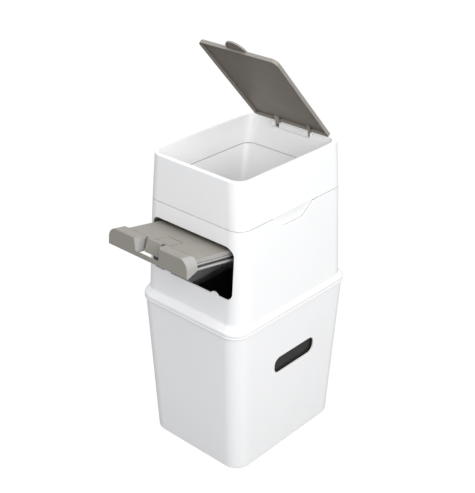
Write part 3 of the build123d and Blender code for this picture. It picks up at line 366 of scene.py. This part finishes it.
@dataclass(frozen=True)
class Repeat:
    """A small piece repeated on a list of places by a Geometry Nodes tree.

    Attributes:
        name: Name of the finished piece.
        places: Where each copy stands, in metres.
        facing: The way each copy's own +Z points.
    """

    name: str
    places: tuple[Vector, ...]
    facing: tuple[Vector, ...]

    def seats(self) -> bpy.types.Object:
        """Returns an object with one loose vertex at each place, which keeps its turn."""
        mesh = bpy.data.meshes.new(self.name)
        mesh.from_pydata([tuple(p) for p in self.places], [], [])
        turns = mesh.attributes.new("turn", "FLOAT_VECTOR", "POINT")
        for item, way in zip(turns.data, self.facing):
            item.vector = Vector((0, 0, 1)).rotation_difference(way).to_euler()
        seat = bpy.data.objects.new(self.name, mesh)
        bpy.context.scene.collection.objects.link(seat)
        return seat

    def make(self, tree: bpy.types.NodeTree, sizes: dict[str, float]) -> bpy.types.Object:
        """Runs a tree on the places and keeps the result as a plain mesh.

        Args:
            tree: A Geometry Nodes tree whose inputs have the names in sizes.
            sizes: Each input's value, in metres.

        Returns:
            The finished piece, without a modifier.
        """
        seat = self.seats()
        modifier = seat.modifiers.new("repeat", "NODES")
        modifier.node_group = tree
        for item in tree.interface.items_tree:
            if item.item_type == "SOCKET" and item.in_out == "INPUT" and item.name in sizes:
                modifier[item.identifier] = sizes[item.name]
        seat.update_tag()
        graph = bpy.context.evaluated_depsgraph_get()
        mesh = bpy.data.meshes.new_from_object(seat.evaluated_get(graph))
        seat.modifiers.clear()
        seat.data = mesh
        mesh.name = self.name
        return seat


@dataclass(frozen=True)
class RepeatTree:
    """Geometry Nodes tree with named length inputs that puts one shape on every place.

    Attributes:
        name: The tree's name.
        lengths: Names of its size inputs.
        finish: The material that the copies get.
    """

    name: str
    lengths: tuple[str, ...]
    finish: bpy.types.Material

    def start(self) -> tuple[bpy.types.NodeTree, bpy.types.Node]:
        """Returns the new tree, with its sockets, and its input node."""
        tree = bpy.data.node_groups.new(self.name, "GeometryNodeTree")
        tree.interface.new_socket("Places", in_out="INPUT", socket_type="NodeSocketGeometry")
        for name in self.lengths:
            tree.interface.new_socket(name, in_out="INPUT", socket_type="NodeSocketFloat")
        tree.interface.new_socket("Geometry", in_out="OUTPUT", socket_type="NodeSocketGeometry")
        return tree, add_node(tree, "NodeGroupInput")

    def end(self, tree: bpy.types.NodeTree, places: bpy.types.NodeSocket,
            shape: bpy.types.NodeSocket) -> bpy.types.NodeTree:
        """Puts the shape on the places and closes the tree.

        Args:
            tree: The tree.
            places: The socket with the places.
            shape: The socket with one copy's geometry.

        Returns:
            The finished tree.
        """
        kept = add_node(tree, "GeometryNodeInputNamedAttribute", {"Name": "turn"}, data_type="FLOAT_VECTOR")
        turn = add_node(tree, "FunctionNodeEulerToRotation", {"Euler": kept.outputs["Attribute"]})
        copies = add_node(tree, "GeometryNodeInstanceOnPoints",
                          {"Points": places, "Instance": shape, "Rotation": turn.outputs["Rotation"]})
        real = add_node(tree, "GeometryNodeRealizeInstances", {"Geometry": copies.outputs["Instances"]})
        dressed = add_node(tree, "GeometryNodeSetMaterial",
                           {"Geometry": real.outputs["Geometry"], "Material": self.finish})
        add_node(tree, "NodeGroupOutput", {"Geometry": dressed.outputs["Geometry"]})
        return tree


def scaled(tree: bpy.types.NodeTree, length: bpy.types.NodeSocket, factor: float) -> bpy.types.NodeSocket:
    """Returns a length times a plain factor."""
    return add_node(tree, "ShaderNodeMath", {0: length, 1: factor}, operation="MULTIPLY").outputs[0]


def raised(tree: bpy.types.NodeTree, mesh: bpy.types.NodeSocket, height: bpy.types.NodeSocket,
           tip: float = 0.0) -> bpy.types.NodeSocket:
    """Tips a mesh over about X and moves it to a height.

    Args:
        tree: The node tree.
        mesh: The socket with the mesh.
        height: The socket with the height.
        tip: How far it is tipped over, in radians.

    Returns:
        The socket with the moved mesh.
    """
    at = add_node(tree, "ShaderNodeCombineXYZ", {"Z": height})
    moved = add_node(tree, "GeometryNodeTransform",
                     {"Geometry": mesh, "Translation": at.outputs["Vector"], "Rotation": (tip, 0.0, 0.0)})
    return moved.outputs["Geometry"]


def joined(tree: bpy.types.NodeTree, *meshes: bpy.types.NodeSocket) -> bpy.types.NodeSocket:
    """Returns the union of some meshes."""
    whole = add_node(tree, "GeometryNodeMeshBoolean", operation="UNION")
    for mesh in meshes:
        tree.links.new(mesh, whole.inputs["Mesh 2"])
    return whole.outputs["Mesh"]


PAD_SIDES = 40
PAD_BASE_SHARE = 0.7  # of the pad's height, at its full width


def pad_tree(finish: bpy.types.Material) -> bpy.types.NodeTree:
    """Builds the tree of a round pad with a stepped edge.

    Args:
        finish: The pads' material.

    Returns:
        A tree with inputs Radius, Height and Step.
    """
    kit = RepeatTree("foot_pad_tree", ("Radius", "Height", "Step"), finish)
    tree, given = kit.start()
    radius, height, step = (given.outputs[n] for n in kit.lengths)
    crown_radius = add_node(tree, "ShaderNodeMath", {0: radius, 1: step}, operation="SUBTRACT")
    base_height = scaled(tree, height, PAD_BASE_SHARE)
    base = add_node(tree, "GeometryNodeMeshCylinder",
                    {"Vertices": PAD_SIDES, "Radius": radius, "Depth": base_height})
    crown = add_node(tree, "GeometryNodeMeshCylinder",
                     {"Vertices": PAD_SIDES, "Radius": crown_radius.outputs[0], "Depth": height})
    whole = joined(tree, raised(tree, base.outputs["Mesh"], scaled(tree, base_height, -0.5)),
                   raised(tree, crown.outputs["Mesh"], scaled(tree, height, -0.5)))
    return kit.end(tree, given.outputs["Places"], whole)


RIB_EDGE_SHARE = 0.62  # of the rib's root thickness, left at its free edge


def rib_tree(finish: bpy.types.Material) -> bpy.types.NodeTree:
    """Builds the tree of a thin rib that tapers to its free edge, as moulded ribs do.

    Args:
        finish: The ribs' material.

    Returns:
        A tree with inputs Length, Root and Depth.
    """
    kit = RepeatTree("stiffening_rib_tree", ("Length", "Root", "Depth"), finish)
    tree, given = kit.start()
    length, root, depth = (given.outputs[n] for n in kit.lengths)
    size = add_node(tree, "ShaderNodeCombineXYZ", {"X": length, "Y": root, "Z": depth})
    block = add_node(tree, "GeometryNodeMeshCube", {"Size": size.outputs["Vector"], "Vertices Z": 4})
    place = add_node(tree, "GeometryNodeInputPosition")
    parts = add_node(tree, "ShaderNodeSeparateXYZ", {"Vector": place.outputs["Position"]})
    share = add_node(tree, "ShaderNodeMath", {0: parts.outputs["Z"], 1: depth}, operation="DIVIDE")
    draft = add_node(tree, "ShaderNodeMapRange",
                     {"Value": share.outputs[0], "From Min": -0.5, "From Max": 0.5,
                      "To Min": RIB_EDGE_SHARE, "To Max": 1.0})
    thin = add_node(tree, "ShaderNodeMath", {0: parts.outputs["Y"], 1: draft.outputs["Result"]},
                    operation="MULTIPLY")
    hung = add_node(tree, "ShaderNodeMath", {0: parts.outputs["Z"], 1: scaled(tree, depth, 0.5)},
                    operation="SUBTRACT")
    moved = add_node(tree, "ShaderNodeCombineXYZ",
                     {"X": parts.outputs["X"], "Y": thin.outputs[0], "Z": hung.outputs[0]})
    shaped = add_node(tree, "GeometryNodeSetPosition",
                      {"Geometry": block.outputs["Mesh"], "Position": moved.outputs["Vector"]})
    return kit.end(tree, given.outputs["Places"], shaped.outputs["Geometry"])


@dataclass(frozen=True)
class ScrewShape:
    """Proportions of a cross-recessed pan-head screw with a coarse thread.

    Attributes:
        skirt: Upright part of the head, as a share of its height.
        crown: Radius of the head's top, as a share of its own.
        slot_length: Length of a bar of the cross, as a share of the head's radius.
        slot_width: Its width, as a share of the same.
        core: Radius of the core, as a share of the thread's.
        point_start: Where the point begins, as a share of the bite.
        point: Radius of the blunt point, as a share of the thread's.
        thread_start: Where the thread begins, as a share of the bite.
        thread: Length of the thread, as a share of the bite.
        flank: Height of the thread's flank, as a share of its radius.
        head_sides: Sides of the head's outline.
        shank_sides: Sides of the shank's outline.
        thread_steps: Steps of each turn of the thread.
    """

    skirt: float = 0.6
    crown: float = 0.76
    slot_length: float = 1.05
    slot_width: float = 0.24
    core: float = 0.78
    point_start: float = 0.85
    point: float = 0.2
    thread_start: float = 0.02
    thread: float = 0.8
    flank: float = 0.22
    head_sides: int = 28
    shank_sides: int = 20
    thread_steps: int = 14

    def head(self, tree: bpy.types.NodeTree, radius: bpy.types.NodeSocket,
             height: bpy.types.NodeSocket) -> bpy.types.NodeSocket:
        """Builds the head, with its underside at the origin and its top below.

        Args:
            tree: The node tree.
            radius: The socket with the head's radius.
            height: The socket with its height.

        Returns:
            The socket with the head's mesh.
        """
        skirt = add_node(tree, "GeometryNodeMeshCylinder",
                         {"Vertices": self.head_sides, "Radius": radius,
                          "Depth": scaled(tree, height, self.skirt)})
        crown = add_node(tree, "GeometryNodeMeshCone",
                         {"Vertices": self.head_sides, "Radius Bottom": radius,
                          "Radius Top": scaled(tree, radius, self.crown),
                          "Depth": scaled(tree, height, 1 - self.skirt)})
        solid = joined(tree, raised(tree, skirt.outputs["Mesh"], scaled(tree, height, -self.skirt / 2)),
                       raised(tree, crown.outputs["Mesh"], scaled(tree, height, -self.skirt), math.pi))
        recess = add_node(tree, "GeometryNodeMeshBoolean", {"Mesh 1": solid}, operation="DIFFERENCE")
        length, width = scaled(tree, radius, self.slot_length), scaled(tree, radius, self.slot_width)
        for x, y in ((length, width), (width, length)):
            size = add_node(tree, "ShaderNodeCombineXYZ", {"X": x, "Y": y, "Z": height})
            bar = add_node(tree, "GeometryNodeMeshCube", {"Size": size.outputs["Vector"]})
            tree.links.new(raised(tree, bar.outputs["Mesh"], scaled(tree, height, -1.0)),
                           recess.inputs["Mesh 2"])
        return recess.outputs["Mesh"]

    def shank(self, tree: bpy.types.NodeTree, radius: bpy.types.NodeSocket, bite: bpy.types.NodeSocket,
              pitch: bpy.types.NodeSocket) -> tuple[bpy.types.NodeSocket, ...]:
        """Builds the core, the point and the thread, from the origin upwards.

        Args:
            tree: The node tree.
            radius: The socket with the radius over the thread.
            bite: The socket with the length under the head.
            pitch: The socket with the thread's pitch.

        Returns:
            The sockets with the three meshes.
        """
        core = scaled(tree, radius, self.core)
        shank = add_node(tree, "GeometryNodeMeshCylinder",
                         {"Vertices": self.shank_sides, "Radius": core,
                          "Depth": scaled(tree, bite, self.point_start)})
        point = add_node(tree, "GeometryNodeMeshCone",
                         {"Vertices": self.shank_sides, "Radius Bottom": core,
                          "Radius Top": scaled(tree, radius, self.point),
                          "Depth": scaled(tree, bite, 1 - self.point_start)})
        wound = scaled(tree, bite, self.thread)
        turns = add_node(tree, "ShaderNodeMath", {0: wound, 1: pitch}, operation="DIVIDE")
        helix = add_node(tree, "GeometryNodeCurveSpiral",
                         {"Resolution": self.thread_steps, "Rotations": turns.outputs[0],
                          "Start Radius": core, "End Radius": core, "Height": wound})
        flank = add_node(tree, "GeometryNodeCurvePrimitiveCircle",
                         {"Resolution": 4, "Radius": scaled(tree, radius, self.flank)})
        thread = add_node(tree, "GeometryNodeCurveToMesh",
                          {"Curve": helix.outputs["Curve"], "Profile Curve": flank.outputs["Curve"],
                           "Fill Caps": True})
        return (raised(tree, shank.outputs["Mesh"], scaled(tree, bite, self.point_start / 2)),
                raised(tree, point.outputs["Mesh"], scaled(tree, bite, self.point_start)),
                raised(tree, thread.outputs["Mesh"], scaled(tree, bite, self.thread_start)))


def screw_tree(finish: bpy.types.Material, shape: ScrewShape) -> bpy.types.NodeTree:
    """Builds the tree of a screw that is driven along +Z, with its head's underside at the origin.

    Args:
        finish: The screws' material.
        shape: Their proportions.

    Returns:
        A tree with inputs Head Radius, Head Height, Shank Radius, Bite and Pitch.
    """
    kit = RepeatTree("screw_tree", ("Head Radius", "Head Height", "Shank Radius", "Bite", "Pitch"), finish)
    tree, given = kit.start()
    head_radius, head_height, shank_radius, bite, pitch = (given.outputs[n] for n in kit.lengths)
    whole = add_node(tree, "GeometryNodeJoinGeometry")
    for mesh in (shape.head(tree, head_radius, head_height),
                 *shape.shank(tree, shank_radius, bite, pitch)):
        tree.links.new(mesh, whole.inputs["Geometry"])
    return kit.end(tree, given.outputs["Places"], whole.outputs["Geometry"])


@dataclass(frozen=True)
class ScrewGroup:
    """Like screws that one CAD node holds.

    Attributes:
        node: That node.
        body: The body that carries it.
        bite: Length under the head.
        seats: Middle of each head's underside.
        facing: The way each screw drives in.
        head_radius: Radius of the head.
        head_height: Its height.
        shank_radius: Radius over the thread.
        pitch: From one turn of the thread to the next.
        shape: Their proportions.
    """

    node: str
    body: str
    bite: float
    seats: tuple[Vector, ...]
    facing: tuple[Vector, ...]
    head_radius: float = 2.8 * MM
    head_height: float = 1.8 * MM
    shank_radius: float = 1.5 * MM
    pitch: float = 1.2 * MM
    shape: ScrewShape = ScrewShape()

    def build(self, shop: Workshop) -> None:
        """Builds the screws and shows them in place of their node."""
        sizes = {"Head Radius": self.head_radius, "Head Height": self.head_height,
                 "Shank Radius": self.shank_radius, "Bite": self.bite, "Pitch": self.pitch}
        repeat = Repeat(f"{self.node}_threaded", self.seats, self.facing)
        screws = repeat.make(screw_tree(shop.finish(Slot.ZINC), self.shape), sizes)
        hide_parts(self.node)
        shop.deliver(screws, self.body, Slot.ZINC)


# --------------------------------------------------------------- sub-assemblies

UP = Vector((0, 0, 1))
DRAWER_TILT = math.radians(10.2)  # rise of the sliding floor towards its grip
DRAWER_ORIGIN = Vector((0, -0.1352, 0.4386))  # where the floor's top meets the housing's front


def slope_axes() -> tuple[Vector, Vector]:
    """Returns the drawer's outward direction along its slope, and the one square to its floor."""
    out = Vector((0, -math.cos(DRAWER_TILT), math.sin(DRAWER_TILT)))
    up = Vector((0, math.sin(DRAWER_TILT), math.cos(DRAWER_TILT)))
    return out, up


def slope_point(across: float, reach: float, height: float) -> Vector:
    """Returns a point given in the drawer's sloping frame.

    Args:
        across: To the right, in metres.
        reach: Outwards along the slope from the housing's front.
        height: Above the sliding floor's top.

    Returns:
        The point in the frame's axes.
    """
    out, up = slope_axes()
    return DRAWER_ORIGIN + Vector((across, 0, 0)) + out * reach + up * height


@dataclass
class BucketAssembly:
    """Bucket, its inner bin and the liner ring, with rubber pads in the hollow of its foot.

    Attributes:
        shop: Frame and finishes.
        pad_radius: Radius of a foot pad.
        pad_height: Its height, which fills the hollow under the floor.
        pad_step: Width of its stepped edge.
        pad_inset: From the inner bin's outline to a pad's centre.
        pad_gap: Between a pad's top and the floor over it.
        members: The CAD nodes of this assembly.
    """

    shop: Workshop
    pad_radius: float = 7 * MM
    pad_height: float = 2.9 * MM
    pad_step: float = 1.2 * MM
    pad_inset: float = 24 * MM
    pad_gap: float = 0.1 * MM
    members: tuple[str, ...] = ("bucket", "inner_bin", "bag_ring")

    def foot_pads(self) -> None:
        """Builds the four pads in the corners of the foot's hollow."""
        _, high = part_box("inner_bin")
        reach_x = high.x - self.pad_inset
        reach_y = high.y - self.pad_inset
        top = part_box("bucket")[0].z + self.pad_height + self.pad_gap
        places = tuple(Vector((sx * reach_x, sy * reach_y, top)) for sx in (-1, 1) for sy in (-1, 1))
        seat = Repeat("foot_pads", places, (UP,) * len(places))
        sizes = {"Radius": self.pad_radius, "Height": self.pad_height, "Step": self.pad_step}
        pads = seat.make(pad_tree(self.shop.finish(Slot.SEAL)), sizes)
        self.shop.deliver(pads, "root", Slot.SEAL)

    def build(self) -> None:
        """Dresses the nodes and adds the pads."""
        for name in self.members:
            self.shop.dress(name)
        self.foot_pads()


@dataclass
class HousingAssembly:
    """Housing with the drawer's frame, rails, hopper, throat seal and their screws.

    Attributes:
        shop: Frame and finishes.
        frame_screw_side: From the middle to a screw of the frame, sideways.
        frame_screw_rows: Where its front and back screws stand along Y.
        frame_screw_height: Underside of their heads.
        frame_screw_bite: Their length under the head.
        rail_screw_side: From the middle to the head of a rail's screw.
        rail_screw_rows: Reach of its front and back screws along the slope.
        rail_screw_drop: Depth of the rails' screws under the sliding floor's top.
        rail_screw_bite: Their length under the head.
        members: The CAD nodes of this assembly.
    """

    shop: Workshop
    frame_screw_side: float = 100.4 * MM
    frame_screw_rows: tuple[float, float] = (-105 * MM, 60 * MM)
    frame_screw_height: float = 336 * MM
    frame_screw_bite: float = 11.9 * MM
    rail_screw_side: float = 96.4 * MM
    rail_screw_rows: tuple[float, float] = (-45 * MM, -185 * MM)
    rail_screw_drop: float = 13.5 * MM
    rail_screw_bite: float = 8.2 * MM
    members: tuple[str, ...] = ("housing", "drawer_frame", "guide_rail_left", "guide_rail_right", "hopper",
                                "throat_seal")

    def screws(self) -> None:
        """Builds the screws of the drawer's frame, driven upwards, and of its rails, driven inwards."""
        seats = tuple(Vector((side * self.frame_screw_side, row, self.frame_screw_height))
                      for side in (-1, 1) for row in self.frame_screw_rows)
        ScrewGroup("frame_screws", "housing", self.frame_screw_bite, seats,
                   (UP,) * len(seats)).build(self.shop)
        seats = tuple(slope_point(side * self.rail_screw_side, row, -self.rail_screw_drop)
                      for side in (-1, 1) for row in self.rail_screw_rows)
        facing = tuple(Vector((-side, 0, 0)) for side in (-1, 1) for _ in self.rail_screw_rows)
        ScrewGroup("rail_screws", "housing", self.rail_screw_bite, seats, facing).build(self.shop)

    def build(self) -> None:
        """Dresses the nodes and adds the screws."""
        for name in self.members:
            self.shop.dress(name)
        self.screws()


@dataclass
class CollarAssembly:
    """Collar with the lid's bracket, pin and screws.

    Attributes:
        shop: Frame and finishes.
        screw_side: From the middle to a screw.
        members: The CAD nodes of this assembly.
    """

    shop: Workshop
    screw_side: float = 20 * MM
    members: tuple[str, ...] = ("collar", "hinge_bracket", "hinge_pin")

    def screws(self) -> None:
        """Builds the two screws that hold the bracket from under its shelf."""
        low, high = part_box("bracket_screws")
        seat = low.z + ScrewGroup.head_height
        seats = tuple(Vector((side * self.screw_side, (low.y + high.y) / 2, seat)) for side in (-1, 1))
        ScrewGroup("bracket_screws", "collar", high.z - seat, seats, (UP,) * len(seats)).build(self.shop)

    def build(self) -> None:
        """Dresses the nodes and adds the screws."""
        for name in self.members:
            self.shop.dress(name)
        self.screws()


@dataclass
class LidAssembly:
    """Lid with the bushes of its hinge.

    Attributes:
        shop: Frame and finishes.
        angle: How far the lid stands open at rest, in radians.
        flat: How far the faces of its recess may be turned from its underside, in radians.
        members: The CAD nodes of this assembly.
    """

    shop: Workshop
    angle: float = math.radians(48)
    flat: float = math.radians(14)
    members: tuple[str, ...] = ("lid", "hinge_bush_left", "hinge_bush_right")

    def build(self) -> None:
        """Dresses the nodes, with the faces of the lid's recess painted shade in a darker copy of the taupe.
        """
        for name in self.members:
            self.shop.dress(name)
        # Painted shade: faces that look the way of the lid's underside get the darker copy of the taupe.
        underside = Vector((0, -math.sin(self.angle), -math.cos(self.angle)))
        self.shop.dress_side("lid", (underside,), PAINTED_SHADE_RECESS_ABS, self.flat)


@dataclass
class DrawerAssembly:
    """Sliding floor with its grip, latch tongue, runners and the ribs under it.

    Attributes:
        shop: Frame and finishes.
        rib_half_width: Half of a rib's length.
        rib_root: Its thickness at the floor.
        rib_depth: Its height.
        floor_thickness: Thickness of the sliding floor.
        first_rib: Distance of the front rib before the housing's front.
        rib_pitch: From one rib to the next.
        rib_count: How many ribs there are.
        screw_side: From the middle to a runner's screw.
        screw_rows: Reach of each runner's screws along the slope.
        screw_drop: Depth of their seats under the floor's top.
        screw_bite: Their length under the head.
        lit_side_spread: How far the moulding's sides, painted light, may be turned from X, in radians.
        members: The CAD nodes of this assembly.
    """

    shop: Workshop
    rib_half_width: float = 58 * MM
    rib_root: float = 1.6 * MM
    rib_depth: float = 3.6 * MM
    floor_thickness: float = 3 * MM
    first_rib: float = 26 * MM
    rib_pitch: float = 23 * MM
    rib_count: int = 6
    screw_side: float = 66.5 * MM
    screw_rows: tuple[float, ...] = (-85 * MM, -10 * MM, 60 * MM)
    screw_drop: float = 9.4 * MM
    screw_bite: float = 6.4 * MM
    lit_side_spread: float = math.radians(72.5)
    members: tuple[str, ...] = ("drawer_panel", "latch_tongue", "runner_left", "runner_right")

    def floor_ribs(self) -> None:
        """Builds the cross ribs under the sliding floor."""
        places = tuple(slope_point(0, self.first_rib - i * self.rib_pitch, -self.floor_thickness)
                       for i in range(self.rib_count))
        facing = (slope_axes()[1],) * len(places)
        sizes = {"Length": 2 * self.rib_half_width, "Root": self.rib_root, "Depth": self.rib_depth}
        ribs = Repeat("floor_ribs", places, facing).make(rib_tree(self.shop.finish(Slot.TAUPE)), sizes)
        self.shop.deliver(ribs, "drawer", Slot.TAUPE)

    def screws(self) -> None:
        """Builds the screws that hold the runners to the floor's bosses, driven upwards."""
        seats = tuple(slope_point(side * self.screw_side, row, -self.screw_drop)
                      for side in (-1, 1) for row in self.screw_rows)
        ScrewGroup("runner_screws", "drawer", self.screw_bite, seats,
                   (slope_axes()[1],) * len(seats)).build(self.shop)

    def build(self) -> None:
        """Dresses the nodes, with the moulding's sides painted light in a paler copy of the taupe, and adds
        the ribs and screws.
        """
        for name in self.members:
            self.shop.dress(name)
        # Painted light: faces of the moulding that look to either side get the paler copy of the taupe.
        lit_side_ways = (Vector((-1, 0, 0)), Vector((1, 0, 0)))
        self.shop.dress_side("drawer_panel", lit_side_ways, PAINTED_LIGHT_SIDE_ABS, self.lit_side_spread)
        self.floor_ribs()
        self.screws()


# ---------------------------------------------------------------------- studio


@dataclass(frozen=True)
class Softbox:
    """A large soft lamp of the studio.

    Attributes:
        name: Its name.
        place: Where it stands.
        power: Its power in watts.
        target: The point that it faces.
        size: Side of its square.
    """

    name: str
    place: tuple[float, float, float]
    power: float
    target: tuple[float, float, float] = (0.0, 0.0, 0.45)
    size: float = 1.5

    def build(self) -> None:
        """Adds the lamp to the scene."""
        lamp = bpy.data.lights.new(self.name, "AREA")
        lamp.shape = "SQUARE"
        lamp.size = self.size
        lamp.energy = self.power
        holder = bpy.data.objects.new(self.name, lamp)
        holder.visible_camera = False
        bpy.context.scene.collection.objects.link(holder)
        aim = Vector(self.target) - Vector(self.place)
        holder.location = self.place
        holder.rotation_euler = aim.to_track_quat("-Z", "Y").to_euler()


@dataclass(frozen=True)
class Viewpoint:
    """The camera's measured place, direction and focal length.

    Attributes:
        place: Where it stands.
        azimuth: Its way round the object from the front, to the right, in degrees.
        pitch: How far it looks down, in degrees.
        roll: How far it leans, in degrees.
        focal_pixels: Focal length, in pixels of the rendered image.
        image_height: That image's longer side, in pixels.
        sensor: Width of its sensor, in millimetres.
        reach: Nearest and farthest distance that it shows.
    """

    place: tuple[float, float, float] = (1.08195, -1.23524, 1.23103)
    azimuth: float = 41.731
    pitch: float = 27.780
    roll: float = 0.639
    focal_pixels: float = 1047.62
    image_height: int = 493
    sensor: float = 36.0
    reach: tuple[float, float] = (0.05, 100.0)

    def build(self) -> None:
        """Adds the camera and makes it the scene's."""
        azimuth, pitch, roll = (math.radians(a) for a in (self.azimuth, self.pitch, self.roll))
        back = Vector((math.sin(azimuth) * math.cos(pitch), -math.cos(azimuth) * math.cos(pitch),
                       math.sin(pitch)))
        across = Vector((math.cos(azimuth), math.sin(azimuth), 0))
        upward = back.cross(across)
        right = across * math.cos(roll) + upward * math.sin(roll)
        up = upward * math.cos(roll) - across * math.sin(roll)
        data = bpy.data.cameras.new("camera")
        data.sensor_width = self.sensor
        data.lens = self.focal_pixels / self.image_height * self.sensor
        data.clip_start, data.clip_end = self.reach
        holder = bpy.data.objects.new("camera", data)
        bpy.context.scene.collection.objects.link(holder)
        turn = Matrix((right, up, back)).transposed().to_4x4()
        holder.matrix_world = Matrix.Translation(self.place) @ turn
        bpy.context.scene.camera = holder


@dataclass
class Studio:
    """Pale floor, white surroundings, soft lamps and the camera.

    Attributes:
        viewpoint: The camera.
        floor_side: Side of the square floor.
        floor_colour: The floor's colour.
        floor_glow: Share of plain white that a direct look at the floor gets.
        floor_white: Strength of that white.
        room_strength: Light of the surroundings on the object.
        room_colour: Colour of that light.
        lamps: The soft lamps.
    """

    viewpoint: Viewpoint = Viewpoint()
    floor_side: float = 16.0
    floor_colour: str = "9C9C9C"
    floor_glow: float = 0.86
    floor_white: float = 1.12
    room_strength: float = 0.87
    room_colour: str = "FAFBFF"
    lamps: tuple[Softbox, ...] = (
        Softbox("key_right", (2.1, -0.98, 1.6), 38.0),
        Softbox("top_light", (0.6, 0.2, 3.2), 16.5),
        Softbox("fill_front", (-0.7, -1.6, 3.1), 6.5),
    )

    def floor(self) -> None:
        """Adds the floor, white to a direct look and clear from below."""
        half = self.floor_side / 2
        mesh = bpy.data.meshes.new("studio_floor")
        mesh.from_pydata([(-half, -half, 0), (half, -half, 0), (half, half, 0), (-half, half, 0)], [],
                         [(0, 1, 2, 3)])
        plane = bpy.data.objects.new("studio_floor", mesh)
        bpy.context.scene.collection.objects.link(plane)
        material = bpy.data.materials.new("studio_paper")
        material.use_nodes = True
        tree = material.node_tree
        tree.nodes.clear()
        path = add_node(tree, "ShaderNodeLightPath")
        side = add_node(tree, "ShaderNodeNewGeometry")
        paper = add_node(tree, "ShaderNodeBsdfDiffuse", {"Color": linear(self.floor_colour)})
        glow = add_node(tree, "ShaderNodeEmission", {"Color": (1, 1, 1, 1), "Strength": self.floor_white})
        share = add_node(tree, "ShaderNodeMath", {0: path.outputs["Is Camera Ray"], 1: self.floor_glow},
                         operation="MULTIPLY")
        seen = add_node(tree, "ShaderNodeMixShader",
                        {0: share.outputs[0], 1: paper.outputs["BSDF"], 2: glow.outputs["Emission"]})
        clear = add_node(tree, "ShaderNodeBsdfTransparent")
        both = add_node(tree, "ShaderNodeMixShader",
                        {0: side.outputs["Backfacing"], 1: seen.outputs["Shader"], 2: clear.outputs["BSDF"]})
        add_node(tree, "ShaderNodeOutputMaterial", {"Surface": both.outputs["Shader"]})
        mesh.materials.append(material)

    def room(self) -> None:
        """Sets the surroundings: white to a direct look, dimmer as light on the object."""
        world = bpy.data.worlds.new("studio_room")
        bpy.context.scene.world = world
        world.use_nodes = True
        tree = world.node_tree
        tree.nodes.clear()
        path = add_node(tree, "ShaderNodeLightPath")
        strength = add_node(tree, "ShaderNodeMapRange",
                            {"Value": path.outputs["Is Camera Ray"], "To Min": self.room_strength,
                             "To Max": 1.0})
        tint = add_node(tree, "ShaderNodeMix",
                        {"Factor": path.outputs["Is Camera Ray"], "A": linear(self.room_colour),
                         "B": (1, 1, 1, 1)}, data_type="RGBA")
        glow = add_node(tree, "ShaderNodeBackground",
                        {"Color": mix_result(tint), "Strength": strength.outputs["Result"]})
        add_node(tree, "ShaderNodeOutputWorld", {"Surface": glow.outputs["Background"]})

    def build(self) -> None:
        """Sets up camera, floor, surroundings and lamps."""
        self.viewpoint.build()
        self.floor()
        self.room()
        for lamp in self.lamps:
            lamp.build()
        bpy.context.scene.view_settings.view_transform = "Standard"


def main() -> None:
    """Builds the studio and dresses every sub-assembly."""
    logging.basicConfig(level=logging.INFO, format="%(message)s")
    for old in list(bpy.data.objects):
        bpy.data.objects.remove(old)
    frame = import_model()
    record = frame["record"]
    slots = {part["node"]: Slot(part["material_slot"]) for part in record["subparts"]}
    shop = Workshop(frame["nodes"], slots)
    Studio().build()
    for assembly in (BucketAssembly(shop), HousingAssembly(shop), CollarAssembly(shop), LidAssembly(shop),
                     DrawerAssembly(shop)):
        assembly.build()
        LOG.info("finished %s", type(assembly).__name__)


if __name__ == "__main__":
    main()
